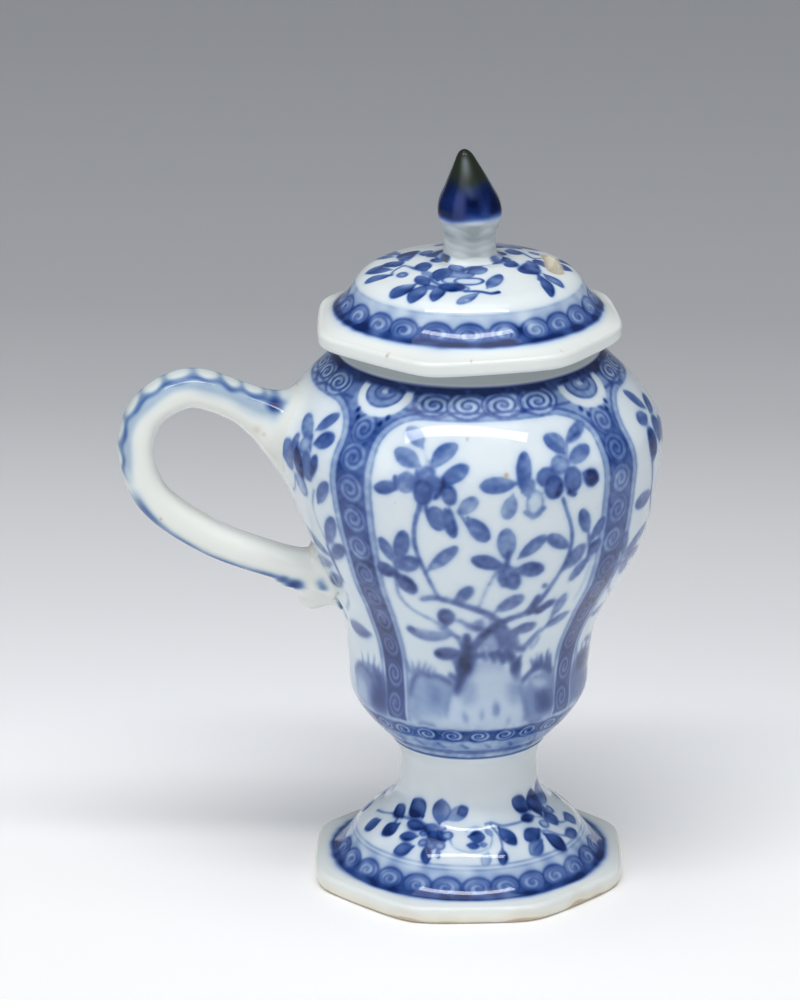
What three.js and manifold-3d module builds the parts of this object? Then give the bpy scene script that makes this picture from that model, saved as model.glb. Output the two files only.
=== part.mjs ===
// A covered mustard pot in underglaze-blue porcelain, after a European table form.
// Millimetres, +Z up. The pot stands on its foot, with the middle of its outline box at the origin.
// Angles are in degrees round the pot's axis, from the front (-Y) towards the right (+X).
// The handle points to the left (-X), and the spoon slot in the cover lies opposite to it.
import * as THREE from 'three';
import { mergeVertices } from 'three/addons/utils/BufferGeometryUtils.js';
import Module from 'manifold-3d';

const wasm = await Module();
wasm.setup();

// Foot: a hollow stem on a domed base with a hand-cut octagonal rim
const footHeight = 26.5;
const footRimApothem = 28.0;
const footRimHeight = 3.2;
const footBandRadius = 25.0;
const footBandHeight = 3.4;
const footDomeRadius = 22.0;
const stemRadius = 12.55;
const footWall = 3.2;
const footRingWidth = 4.2;
const footCeiling = 3.8;
const footFacets = [-97, -50.7, -4.9, 39.7, 83.5, 128, 173, 218];

// Body: thrown in two parts, luted at the widest line
const bowlHeight = 56.8;
const bowlSeatRadius = 14.2;
const bulgeRadius = 21.9;
const bellyRadius = 35.0;
const bodyWall = 3.0;
const bowlFloor = 6.0;
const shoulderHeight = 15.9;
const neckHeight = 3.8;
const neckRadius = 23.6;
const neckWall = 2.9;

// The wall is drawn in a little under the handle
const drawnIn = 2.9;
const drawnInHeight = 64.0;
const drawnInSpread = 12.5;

// Cover: a flanged dome with the same octagonal rim and a slot for the spoon
const coverHeight = 13.8;
const coverRimApothem = 26.9;
const coverRimHeight = 2.9;
const coverBandRadius = 23.95;
const coverBandHeight = 4.5;
const coverDomeRadius = 20.9;
const coverDomeHeight = 8.0;
const coverWall = 3.2;
const coverFacets = [-97, -48, 5.8, 50.8, 90.5, 133.5, 176.5, 219.5];
const facetHardness = 30;
const rimRounding = 0.5;
const flangeDepth = 6.2;
const flangeWall = 2.1;
const flangeClearance = 0.7;
const slotLength = 10.5;
const slotWidth = 2.3;
const slotRadius = 14.6;
const slotTilt = 20;
const slotCutShare = 1.5;

// Finial: a flower bud on a short neck
const finialSeatRadius = 4.8;
const finialNeckRadius = 4.5;
const finialNeckHeight = 5.6;
const finialOffset = 0.25;
const budRadius = 5.8;
const budHeight = 14.1;
const budLean = 1.0;
const budPetals = 8;
const petalValley = 0.05;

// Handle: a strap pulled by hand, luted to the shoulder and the lower belly
const handleReach = 59.8;
const handleUpperJoint = 86.0;
const handleLowerJoint = 60.0;
const handleArch = 8.2;
const handleWidth = 8.2;
const handleThickness = 6.9;
const handleRootThickness = 11.2;
const handleRootWidth = 11.0;
const handleTaper = 0.83;
const handleRootLength = 0.17;
const handleEndLength = 0.13;
const handleEndSwell = 0.3;
const handleBedding = 2.4;
const handleSquareness = 0.75;
const spurDrop = 8.4;
const spurWidth = 7.4;
const lutingGap = 0.3;

// Facets round the turned pieces, round the finial and round the handle
const turnedSides = 60;
const budSides = 24;
const strapSides = 14;
const strapSteps = 40;

const seamHeight = footHeight + bowlHeight;
const neckFootHeight = seamHeight + shoulderHeight;
const lipHeight = neckFootHeight + neckHeight;
const crownHeight = lipHeight + coverHeight;
const neckBore = neckRadius - neckWall;
const flangeRadius = neckBore - flangeClearance;
const flangeBore = flangeRadius - flangeWall;

const mix = (a, b, share) => a + (b - a) * share;
const radians = THREE.MathUtils.degToRad;

// Rings of a smooth outline through points of radius and height
function curved(points, count) {
  const curve = new THREE.CatmullRomCurve3(
    points.map(([r, z]) => new THREE.Vector3(r, 0, z)), false, 'centripetal');
  return curve.getPoints(count).map((p) => ({ r: Math.max(p.x, 0), z: p.z }));
}

// How far the octagon's edge lies out at an angle, as a share of its apothem
function facetShare(angle, facets, hardness) {
  let sum = 0;
  for (const facet of facets) {
    const lean = Math.cos(angle - radians(facet));
    if (lean > 0) sum += lean ** hardness;
  }
  return sum ** (-1 / hardness);
}

// How much the wall is drawn in under the handle
function drawIn(z, angle) {
  const level = Math.exp(-(((z - drawnInHeight) / drawnInSpread) ** 2));
  const facing = Math.max(0, Math.cos(angle + Math.PI / 2));
  return drawnIn * level * facing * facing;
}

const round = (ring) => ring.r;
const drawn = (ring, angle) => ring.r - drawIn(ring.z, angle);
const faceted = (facets) => (ring, angle) =>
  (ring.cut ? ring.r * mix(1, facetShare(angle, facets, facetHardness), ring.cut) : ring.r);

// A closed mesh through rings. A ring of no radius closes the stack with one point on the axis.
function ringStack(rings, sides, radiusAt, looped) {
  const points = [];
  const starts = [];
  for (const ring of rings) {
    starts.push(points.length / 3);
    if (ring.r < 1e-6) {
      points.push(ring.x ?? 0, 0, ring.z);
      continue;
    }
    for (let i = 0; i < sides; i += 1) {
      const angle = (i * 2 * Math.PI) / sides;
      const r = radiusAt(ring, angle);
      points.push((ring.x ?? 0) + r * Math.sin(angle), -r * Math.cos(angle), ring.z);
    }
  }
  const faces = [];
  const last = looped ? rings.length : rings.length - 1;
  for (let k = 0; k < last; k += 1) {
    const next = (k + 1) % rings.length;
    const lowPole = rings[k].r < 1e-6;
    const highPole = rings[next].r < 1e-6;
    for (let i = 0; i < sides; i += 1) {
      const j = (i + 1) % sides;
      const a = starts[k] + (lowPole ? 0 : i);
      const b = starts[k] + (lowPole ? 0 : j);
      const c = starts[next] + (highPole ? 0 : i);
      const d = starts[next] + (highPole ? 0 : j);
      if (!lowPole) faces.push(a, b, d);
      if (!highPole) faces.push(a, d, c);
    }
  }
  return facingOut(points, faces);
}

// Turns a closed mesh's faces outwards
function facingOut(points, faces) {
  let volume = 0;
  for (let f = 0; f < faces.length; f += 3) {
    const [a, b, c] = [0, 1, 2].map((n) => new THREE.Vector3().fromArray(points, faces[f + n] * 3));
    volume += a.dot(b.cross(c));
  }
  if (volume < 0) faces.reverse();
  const geometry = new THREE.BufferGeometry();
  geometry.setAttribute('position', new THREE.Float32BufferAttribute(points, 3));
  geometry.setIndex(faces);
  return geometry;
}

function toSolid(geometry) {
  const bare = geometry.clone();
  bare.deleteAttribute('normal');
  bare.deleteAttribute('uv');
  const merged = mergeVertices(bare, 1e-4);
  return new wasm.Manifold(new wasm.Mesh({
    numProp: 3,
    vertProperties: new Float32Array(merged.attributes.position.array),
    triVerts: new Uint32Array(merged.index.array),
  }));
}

function toGeometry(solid) {
  const mesh = solid.getMesh();
  const geometry = new THREE.BufferGeometry();
  geometry.setAttribute('position', new THREE.BufferAttribute(new Float32Array(mesh.vertProperties), 3));
  geometry.setIndex(new THREE.BufferAttribute(new Uint32Array(mesh.triVerts), 1));
  return geometry;
}

// Rings of an octagonal rim, from its flat underside up to its upper edge
function rimRings(base, apothem, height) {
  return [
    { r: apothem - rimRounding, z: base, cut: 0.8 },
    { r: apothem, z: base + rimRounding, cut: 0.9 },
    { r: apothem, z: base + height - rimRounding, cut: 1 },
    { r: apothem - rimRounding, z: base + height, cut: 1 },
  ];
}

function footOutline() {
  const rise = footHeight - footBandHeight;
  return curved([
    [footBandRadius, footBandHeight],
    [mix(footDomeRadius, footBandRadius, 0.4), footBandHeight + rise * 0.07],
    [footDomeRadius, footBandHeight + rise * 0.14],
    [mix(stemRadius, footDomeRadius, 0.76), footBandHeight + rise * 0.265],
    [mix(stemRadius, footDomeRadius, 0.47), footBandHeight + rise * 0.362],
    [mix(stemRadius, footDomeRadius, 0.22), footBandHeight + rise * 0.44],
    [mix(stemRadius, footDomeRadius, 0.05), footBandHeight + rise * 0.54],
    [stemRadius, footBandHeight + rise * 0.7],
    [mix(stemRadius, bowlSeatRadius, 0.15), footBandHeight + rise * 0.88],
    [bowlSeatRadius, footHeight],
  ], 13);
}

// The hollow under the foot, from its ceiling down to the inner edge of the ring that it stands on
function footHollow() {
  const bore = stemRadius - footWall;
  const mouth = footRimApothem - footRingWidth;
  const ceiling = footHeight - footCeiling;
  return curved([
    [bore * 0.86, ceiling],
    [bore, ceiling - 2],
    [bore, ceiling * 0.62],
    [mix(bore, mouth, 0.4), ceiling * 0.4],
    [mix(bore, mouth, 0.78), ceiling * 0.2],
    [mouth, 0],
  ], 8);
}

function makeFoot() {
  const rings = [
    ...rimRings(0, footRimApothem, footRimHeight),
    ...footOutline(),
    { r: 0, z: footHeight },
  ];
  const hollow = [{ r: 0, z: footHeight - footCeiling }, ...footHollow()];
  return joinShells(rings, hollow, faceted(footFacets));
}

// An outer shell that ends on the axis above, and the hollow under it that starts on the axis
function joinShells(outer, hollow, radiusAt) {
  return ringStack([...hollow, ...outer], turnedSides, radiusAt, false);
}

function bowlOutline(count) {
  const at = (share) => footHeight + bowlHeight * share;
  return curved([
    [bowlSeatRadius, footHeight],
    [mix(bowlSeatRadius, bulgeRadius, 0.62), at(0.093)],
    [mix(bowlSeatRadius, bulgeRadius, 0.94), at(0.168)],
    [bulgeRadius, at(0.26)],
    [mix(bulgeRadius, bellyRadius, 0.1), at(0.39)],
    [mix(bulgeRadius, bellyRadius, 0.37), at(0.52)],
    [mix(bulgeRadius, bellyRadius, 0.7), at(0.655)],
    [mix(bulgeRadius, bellyRadius, 0.885), at(0.81)],
    [bellyRadius, seamHeight],
  ], count);
}

function makeBowl() {
  const outer = bowlOutline(14);
  const floor = footHeight + bowlFloor;
  const inner = bowlOutline(10)
    .filter((ring) => ring.z > floor + bodyWall)
    .map((ring) => ({ r: ring.r - bodyWall, z: ring.z }))
    .reverse();
  const base = inner[inner.length - 1];
  const curve = [
    { r: base.r * 0.82, z: mix(base.z, floor, 0.75) },
    { r: base.r * 0.45, z: floor },
    { r: 0, z: floor },
  ];
  return ringStack([{ r: 0, z: footHeight }, ...outer, ...inner, ...curve], turnedSides, drawn, false);
}

function shoulderOutline(count) {
  const at = (share) => seamHeight + shoulderHeight * share;
  return curved([
    [bellyRadius, seamHeight],
    [mix(neckRadius, bellyRadius, 0.96), at(0.19)],
    [mix(neckRadius, bellyRadius, 0.83), at(0.37)],
    [mix(neckRadius, bellyRadius, 0.58), at(0.61)],
    [mix(neckRadius, bellyRadius, 0.32), at(0.8)],
    [mix(neckRadius, bellyRadius, 0.1), at(0.95)],
    [neckRadius, neckFootHeight + neckHeight * 0.12],
  ], count);
}

function makeShoulder() {
  const outer = [
    ...shoulderOutline(9),
    { r: neckRadius, z: lipHeight - rimRounding },
    { r: neckRadius - rimRounding, z: lipHeight },
  ];
  const throat = neckFootHeight - bodyWall * 0.6;
  const inner = [
    { r: neckBore + rimRounding, z: lipHeight },
    { r: neckBore, z: lipHeight - rimRounding },
    { r: neckBore, z: throat },
    { r: mix(neckBore, bellyRadius - bodyWall, 0.42), z: mix(seamHeight, throat, 0.72) },
    { r: mix(neckBore, bellyRadius - bodyWall, 0.82), z: mix(seamHeight, throat, 0.4) },
    { r: bellyRadius - bodyWall, z: seamHeight },
  ];
  return ringStack([...outer, ...inner], turnedSides, drawn, true);
}

function coverOutline() {
  const at = (height) => lipHeight + height;
  const rise = coverHeight - coverDomeHeight;
  return curved([
    [coverBandRadius, at(coverBandHeight)],
    [mix(coverDomeRadius, coverBandRadius, 0.42), at(mix(coverBandHeight, coverDomeHeight, 0.42))],
    [coverDomeRadius, at(coverDomeHeight)],
    [mix(finialSeatRadius, coverDomeRadius, 0.97), at(coverDomeHeight + rise * 0.14)],
    [mix(finialSeatRadius, coverDomeRadius, 0.85), at(coverDomeHeight + rise * 0.43)],
    [mix(finialSeatRadius, coverDomeRadius, 0.68), at(coverDomeHeight + rise * 0.61)],
    [mix(finialSeatRadius, coverDomeRadius, 0.34), at(coverDomeHeight + rise * 0.86)],
    [finialSeatRadius, crownHeight],
  ], 12);
}

// The hollow under the cover's dome, from its ceiling down to the seat
function coverHollow() {
  const ceiling = crownHeight - coverWall;
  const spring = lipHeight + coverDomeHeight - coverWall;
  return [
    { r: 0, z: ceiling },
    { r: flangeBore * 0.5, z: mix(spring, ceiling, 0.86) },
    { r: flangeBore * 0.8, z: mix(spring, ceiling, 0.56) },
    { r: flangeBore * 0.96, z: spring },
    { r: flangeBore, z: mix(lipHeight, spring, 0.5) },
    { r: flangeBore, z: lipHeight },
  ];
}

// A round-ended bar that stands across the cover's wall where the spoon passes
function slotCutter() {
  const end = (slotLength - slotWidth) / 2;
  const shape = new THREE.Shape();
  shape.absarc(0, end, slotWidth / 2, 0, Math.PI, false);
  shape.absarc(0, -end, slotWidth / 2, Math.PI, 2 * Math.PI, false);
  const depth = coverHeight * slotCutShare;
  const bar = new THREE.ExtrudeGeometry(shape, { depth, bevelEnabled: false, curveSegments: 8 });
  bar.translate(0, 0, -depth / 2);
  bar.rotateY(radians(slotTilt));
  bar.translate(slotRadius, 0, crownHeight - coverWall);
  return toSolid(bar);
}

function makeCover() {
  const outer = [
    ...rimRings(lipHeight, coverRimApothem, coverRimHeight),
    ...coverOutline(),
    { r: 0, z: crownHeight },
  ];
  const dome = joinShells(outer, coverHollow(), faceted(coverFacets));
  return toGeometry(toSolid(dome).subtract(slotCutter()));
}

// The ring under the cover that keeps it centred in the neck
function makeFlange() {
  const foot = lipHeight - flangeDepth;
  return ringStack([
    { r: flangeRadius, z: lipHeight },
    { r: flangeRadius, z: foot + rimRounding },
    { r: flangeRadius - rimRounding, z: foot },
    { r: flangeBore + rimRounding, z: foot },
    { r: flangeBore, z: foot + rimRounding },
    { r: flangeBore, z: lipHeight },
  ], turnedSides, round, true);
}

// The bud's radius at an angle, with a shallow valley between two petals
function petalled(ring, angle) {
  const valley = 0.5 - 0.5 * Math.cos(angle * budPetals);
  return ring.r * (1 - petalValley * (ring.petal ?? 0) * valley);
}

function makeFinial() {
  const neck = crownHeight + finialNeckHeight;
  const rise = (share) => neck + budHeight * share;
  const stem = curved([
    [finialSeatRadius, crownHeight],
    [finialNeckRadius * 1.03, crownHeight + finialNeckHeight * 0.26],
    [finialNeckRadius, crownHeight + finialNeckHeight * 0.66],
    [mix(finialNeckRadius, budRadius, 0.45), neck],
    [budRadius, rise(0.16)],
    [budRadius * 0.985, rise(0.3)],
    [budRadius * 0.74, rise(0.52)],
    [budRadius * 0.41, rise(0.79)],
    [budRadius * 0.2, rise(0.95)],
  ], 14);
  const rings = stem.map((ring) => {
    const share = Math.max(0, (ring.z - neck) / budHeight);
    return { ...ring, x: finialOffset - budLean * share * share, petal: Math.sin(Math.PI * share) };
  });
  const tip = { r: 0, z: rise(1), x: finialOffset - budLean };
  return ringStack([{ r: 0, z: crownHeight, x: finialOffset }, ...rings, tip], budSides, petalled, false);
}

// How far the wall under the handle stands from the axis at a height
function wallBehindHandle(z) {
  const rings = [...bowlOutline(40), ...shoulderOutline(40)];
  const above = rings.findIndex((ring) => ring.z >= z);
  const [low, high] = [rings[above - 1], rings[above]];
  const r = mix(low.r, high.r, (z - low.z) / (high.z - low.z));
  return r - drawIn(z, -Math.PI / 2);
}

// The strap's middle line, in the plane of the handle, from inside the upper wall to inside the lower
function handleCurve() {
  const upper = wallBehindHandle(handleUpperJoint);
  const lower = wallBehindHandle(handleLowerJoint);
  const top = handleUpperJoint + handleArch;
  const above = (wall, out, up) => new THREE.Vector3(
    -mix(wall, handleReach, out), 0, mix(handleUpperJoint, top, up));
  const below = (wall, out, up) => new THREE.Vector3(
    -mix(wall, handleReach, out), 0, mix(handleLowerJoint, handleUpperJoint, up));
  return new THREE.CatmullRomCurve3([
    new THREE.Vector3(-upper + handleBedding * 1.6, 0, handleUpperJoint - handleBedding * 0.7),
    above(upper, 0, 0.13),
    above(upper, 0.28, 0.66),
    above(upper, 0.62, 1),
    above(upper, 0.9, 0.56),
    below(lower, 1, 0.94),
    below(lower, 0.93, 0.57),
    below(lower, 0.635, 0.25),
    below(lower, 0.27, 0.045),
    new THREE.Vector3(-lower + handleBedding, 0, handleLowerJoint - handleBedding),
  ], false, 'centripetal');
}

// One end of the strap swells where it is luted to the wall
function rootSwell(share, length) {
  const near = Math.max(0, 1 - share / length);
  return near * near * (3 - 2 * near);
}

// A rounded section's coordinate, pushed a little towards a square one
function squared(value) {
  return Math.sign(value) * Math.abs(value) ** handleSquareness;
}

function makeStrap() {
  const curve = handleCurve();
  const points = [];
  for (let k = 0; k <= strapSteps; k += 1) {
    const share = k / strapSteps;
    const middle = curve.getPointAt(share);
    const along = curve.getTangentAt(share);
    const upperSwell = rootSwell(share, handleRootLength);
    const lowerSwell = handleEndSwell * rootSwell(1 - share, handleEndLength);
    const swell = Math.max(upperSwell, lowerSwell);
    const thick = mix(handleThickness * mix(1, handleTaper, share), handleRootThickness, swell) / 2;
    const wide = mix(handleWidth, handleRootWidth, swell) / 2;
    for (let i = 0; i < strapSides; i += 1) {
      const angle = (i * 2 * Math.PI) / strapSides;
      const across = squared(Math.cos(angle));
      const out = squared(Math.sin(angle));
      points.push(
        middle.x + along.z * out * thick,
        across * wide,
        middle.z - along.x * out * thick);
    }
  }
  return capped(points, strapSides, strapSteps + 1);
}

// A closed tube through rings of points, with flat ends
function capped(points, sides, rings) {
  const faces = [];
  for (let k = 0; k < rings - 1; k += 1) {
    for (let i = 0; i < sides; i += 1) {
      const j = (i + 1) % sides;
      const a = k * sides;
      faces.push(a + i, a + j, a + sides + j, a + i, a + sides + j, a + sides + i);
    }
  }
  const end = (rings - 1) * sides;
  for (let i = 1; i < sides - 1; i += 1) {
    faces.push(0, i + 1, i, end, end + i, end + i + 1);
  }
  return facingOut(points, faces);
}

// The edge of the spur: how far out from the wall and how far down, as shares of its drop
const spurEdge = [
  [0.74, 0.42], [0.64, 0.78], [0.49, 0.97], [0.31, 1], [0.14, 0.91], [-0.05, 0.88], [-0.24, 1],
];

// The strap's end turns down the wall in a short spur
function makeSpur() {
  const wall = wallBehindHandle(handleLowerJoint);
  const inside = -wall + handleBedding * 3;
  const at = ([out, drop]) => new THREE.Vector2(
    -wall - spurDrop * out, handleLowerJoint - spurDrop * drop);
  const shape = new THREE.Shape();
  shape.moveTo(inside, handleLowerJoint);
  shape.lineTo(-wall - spurDrop, handleLowerJoint);
  shape.splineThru(spurEdge.map(at));
  shape.lineTo(inside, handleLowerJoint - spurDrop * 1.2);
  const edge = spurWidth * 0.22;
  const spur = new THREE.ExtrudeGeometry(shape, {
    depth: spurWidth - 2 * edge,
    bevelThickness: edge,
    bevelSize: edge * 0.6,
    bevelOffset: -edge * 0.6,
    bevelSegments: 3,
    curveSegments: 2,
  });
  spur.translate(0, 0, edge - spurWidth / 2);
  spur.rotateX(Math.PI / 2);
  return toSolid(spur);
}

// The space that the body fills, a little larger, so that the handle's ends follow its wall
function bodySpace() {
  const grown = [...bowlOutline(14), ...shoulderOutline(9).slice(1)]
    .map((ring) => ({ r: ring.r + lutingGap, z: ring.z }));
  const low = { r: 0, z: footHeight };
  const high = { r: 0, z: neckFootHeight };
  return toSolid(ringStack([low, ...grown, high], turnedSides, drawn, false));
}

function makeHandle() {
  const strap = toSolid(makeStrap()).add(makeSpur());
  return toGeometry(strap.subtract(bodySpace()));
}

// Glazed porcelain, and the darker blue and green of the bud
function porcelain(colour, roughness) {
  return new THREE.MeshStandardMaterial({ color: colour, roughness, metalness: 0 });
}

function addPiece(group, name, geometry, material) {
  geometry.computeVertexNormals();
  const mesh = new THREE.Mesh(geometry, material);
  mesh.name = name;
  group.add(mesh);
}

const pot = new THREE.Group();
const cover = new THREE.Group();
addPiece(pot, 'foot', makeFoot(), porcelain(0xdfe5e4, 0.12));
addPiece(pot, 'body_lower', makeBowl(), porcelain(0xb9c4d8, 0.1));
addPiece(pot, 'body_upper', makeShoulder(), porcelain(0xc9d2df, 0.1));
addPiece(pot, 'handle', makeHandle(), porcelain(0xe2e8e6, 0.1));
addPiece(cover, 'cover', makeCover(), porcelain(0xd5dce4, 0.1));
addPiece(cover, 'cover_flange', makeFlange(), porcelain(0xe6e4da, 0.55));
addPiece(cover, 'finial', makeFinial(), porcelain(0x33466e, 0.14));

// The origin goes under the middle of the whole outline box
const mustardPot = new THREE.Group();
mustardPot.add(pot, cover);
const box = new THREE.Box3().setFromObject(mustardPot, true);
const middle = box.getCenter(new THREE.Vector3());
mustardPot.position.set(-middle.x, -middle.y, -box.min.z);

export default mustardPot;
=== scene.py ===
# Looks of the covered mustard pot: blue-painted porcelain under a clear glaze, on a pale studio sweep.
# Shapes and painting are in millimetres about the pot's axis, and angles in degrees from the front.
import math

import bpy
import numpy as np
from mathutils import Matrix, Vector


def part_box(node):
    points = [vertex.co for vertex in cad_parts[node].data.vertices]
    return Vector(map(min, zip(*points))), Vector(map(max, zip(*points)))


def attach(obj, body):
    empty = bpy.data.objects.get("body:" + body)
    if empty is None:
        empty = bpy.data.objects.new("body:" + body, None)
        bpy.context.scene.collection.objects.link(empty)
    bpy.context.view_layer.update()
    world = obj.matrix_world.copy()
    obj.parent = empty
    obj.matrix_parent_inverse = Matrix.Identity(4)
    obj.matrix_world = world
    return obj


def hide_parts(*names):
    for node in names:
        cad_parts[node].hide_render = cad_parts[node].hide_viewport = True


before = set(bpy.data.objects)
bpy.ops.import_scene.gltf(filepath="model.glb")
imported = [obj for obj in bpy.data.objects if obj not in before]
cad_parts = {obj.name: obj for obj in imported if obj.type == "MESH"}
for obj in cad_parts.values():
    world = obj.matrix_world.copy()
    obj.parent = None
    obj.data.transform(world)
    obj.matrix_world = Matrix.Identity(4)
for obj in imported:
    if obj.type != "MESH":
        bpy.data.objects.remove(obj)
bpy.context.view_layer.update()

flange_low, flange_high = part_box("cover_flange")
AXIS_X = (flange_low.x + flange_high.x) / 2 * 1000
AXIS = np.array([AXIS_X, 0, 0])
SEAM_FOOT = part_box("foot")[1].z * 1000
SEAM_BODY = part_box("body_lower")[1].z * 1000
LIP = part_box("body_upper")[1].z * 1000
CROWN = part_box("cover")[1].z * 1000
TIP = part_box("finial")[1].z * 1000
SEAT_R, BULGE_R, BELLY_R, NECK_R = 14.2, 21.9, 34.99, 23.6
STEM_R, FOOT_BAND_R, FOOT_DOME_R = 12.55, 25.0, 22.0
COVER_BAND_R, COVER_DOME_R, FINIAL_R = 23.95, 20.9, 4.8
NECK_HEIGHT, FOOT_START, COVER_START = 3.8, 3.4, 8.0
FOOT_RIM_R, FOOT_RIM_HEIGHT, COVER_RIM_R, COVER_RIM_HEIGHT = 28.0, 3.2, 26.9, 2.9
COVER_WALL, FLANGE_IN, FLANGE_OUT, FLANGE_DEPTH = 3.2, 17.9, 20.0, 6.2
FOOT_FACETS = [-97, -50.7, -4.9, 39.7, 83.5, 128, 173, 218]
COVER_FACETS = [-97, -48, 5.8, 50.8, 90.5, 133.5, 176.5, 219.5]
CORNER_HARDNESS = 22
HANDLE_SIDE = -90
OUTLINE_STEP = .22


# Smooth steps and lines

def mix(a, b, share):
    return a + (b - a) * share


def smooth(x):
    x = np.clip(x, 0, 1)
    return x * x * (3 - 2 * x)


def between(x, low, rise, high, fall):
    """One between low and high, with a soft rise above low and a soft fall below high."""
    return smooth((x - low) / rise) * smooth((high - x) / fall)


def bell(x, width):
    return np.exp(-(x / width) ** 2)


def turned(angle, middle):
    """The angle counted from the middle, between -180 and 180."""
    return (angle - middle + 180) % 360 - 180


def spline(points, per=60):
    """A centripetal Catmull-Rom line through the points."""
    p = np.array(points, float)
    p = np.vstack([2 * p[0] - p[1], p, 2 * p[-1] - p[-2]])
    w = np.linspace(0, 1, per, endpoint=False)[:, None]
    out = []
    for i in range(1, len(p) - 2):
        before, start, end, after = p[i - 1:i + 3]
        d = [max(np.linalg.norm(p[k + 1] - p[k]), 1e-9) ** .5 for k in (i - 1, i, i + 1)]
        if i == 1:
            d[0] = d[1]
        if i == len(p) - 3:
            d[2] = d[1]
        t1 = ((start - before) / d[0] - (end - before) / (d[0] + d[1]) + (end - start) / d[1]) * d[1]
        t2 = ((end - start) / d[1] - (after - start) / (d[1] + d[2]) + (after - end) / d[2]) * d[1]
        a = -3 * start + 3 * end - 2 * t1 - t2
        b = 2 * start - 2 * end + t1 + t2
        out.append(start + t1 * w + a * w ** 2 + b * w ** 3)
    return np.vstack(out + [p[-2:-1]])


def lengths(line):
    return np.concatenate([[0], np.cumsum(np.linalg.norm(np.diff(line, axis=0), axis=1))])


def even(line, step):
    """The same line in equal steps of about that length."""
    run = lengths(line)
    at = np.linspace(0, run[-1], max(2, int(math.ceil(run[-1] / step)) + 1))
    return np.stack([np.interp(at, run, line[:, k]) for k in range(line.shape[1])], 1)


# Outlines as (radius, height)

def scaled(rows, radii, low, rise):
    """Rows given as shares between two radii and of a rise above a height."""
    return [(mix(*radii, a), low + rise * b) for a, b in rows]


def bowl_line():
    rise = SEAM_BODY - SEAM_FOOT
    low = [(0, 0), (.62, .093), (.94, .168), (1, .26)]
    high = [(.1, .39), (.37, .52), (.7, .655), (.885, .81), (1, 1)]
    points = scaled(low, (SEAT_R, BULGE_R), SEAM_FOOT, rise)
    return spline(points + scaled(high, (BULGE_R, BELLY_R), SEAM_FOOT, rise))


def shoulder_line():
    rows = [(1, 0), (.96, .19), (.83, .37), (.58, .61), (.32, .8), (.1, .95)]
    points = scaled(rows, (NECK_R, BELLY_R), SEAM_BODY, LIP - NECK_HEIGHT - SEAM_BODY)
    return spline(points + [(NECK_R, LIP - NECK_HEIGHT * .88)])


def body_outline():
    """Bowl and shoulder in one line, a little rounded where they are luted."""
    outline = even(np.vstack([bowl_line(), shoulder_line()[1:]]), OUTLINE_STEP)
    near = .5 * smooth((4.5 - np.abs(outline[1:-1, 1:] - SEAM_BODY)) / 3)
    for _ in range(70):
        outline[1:-1] = mix(outline[1:-1], (outline[:-2] + outline[2:]) / 2, near)
    return outline


def foot_line():
    rise = SEAM_FOOT - FOOT_START
    low = [(FOOT_BAND_R, FOOT_START), (24.1, 4.18), (23.3, 5.03), (FOOT_DOME_R, FOOT_START + rise * .14)]
    rows = [(.885, .207), (.755, .27), (.6, .324), (.47, .364), (.33, .397), (.2, .45), (.05, .54), (0, .7)]
    top = [(mix(STEM_R, SEAT_R, .15), FOOT_START + rise * .88), (SEAT_R, SEAM_FOOT)]
    return spline(low + scaled(rows, (STEM_R, FOOT_DOME_R), FOOT_START, rise) + top)


def cover_line():
    low = [(COVER_BAND_R, LIP + 4.5), (22.88, LIP + 5.46), (21.85, LIP + 6.66), (COVER_DOME_R, LIP + 8.1)]
    rows = [(.965, .18), (.9, .375), (.815, .52), (.68, .63), (.34, .86), (0, 1)]
    rise = CROWN - LIP - COVER_START
    return spline(low + scaled(rows, (FINIAL_R, COVER_DOME_R), LIP + COVER_START, rise))


def facet_share(angle, facets):
    """How far out an octagon's edge lies, as a share of its inner circle, with softened corners."""
    lean = np.clip(np.cos(np.radians(angle - np.array(facets)[:, None])), 1e-3, None)
    return (lean ** CORNER_HARDNESS).sum(0) ** (-1 / CORNER_HARDNESS)


def drawn_in(z, angle):
    """How far the wall is drawn in under the handle."""
    facing = np.clip(-np.sin(np.radians(angle)), 0, None)
    return 2.9 * bell(z - 64, 12.5) * facing ** 2


# Even noise on the surface, from a fixed set of waves

def waves(points, size, seed, count=18):
    rng = np.random.default_rng(seed)
    out = 0
    for _ in range(count):
        d = rng.normal(size=3)
        d *= rng.uniform(.6, 1.5) * 2 * math.pi / size / np.linalg.norm(d)
        out = out + np.sin(points @ d + rng.uniform(0, 2 * math.pi))
    return out / math.sqrt(count / 2)


def relief(r, angle, z, size, seed):
    """The slight waviness of a thrown wall."""
    a = np.radians(angle)
    return waves(np.stack([r * np.sin(a), r * np.cos(a), z], -1), size, seed)


# Brushes. A chart is the painted surface as angle by length along the outline, with the amount of blue there.

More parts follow.
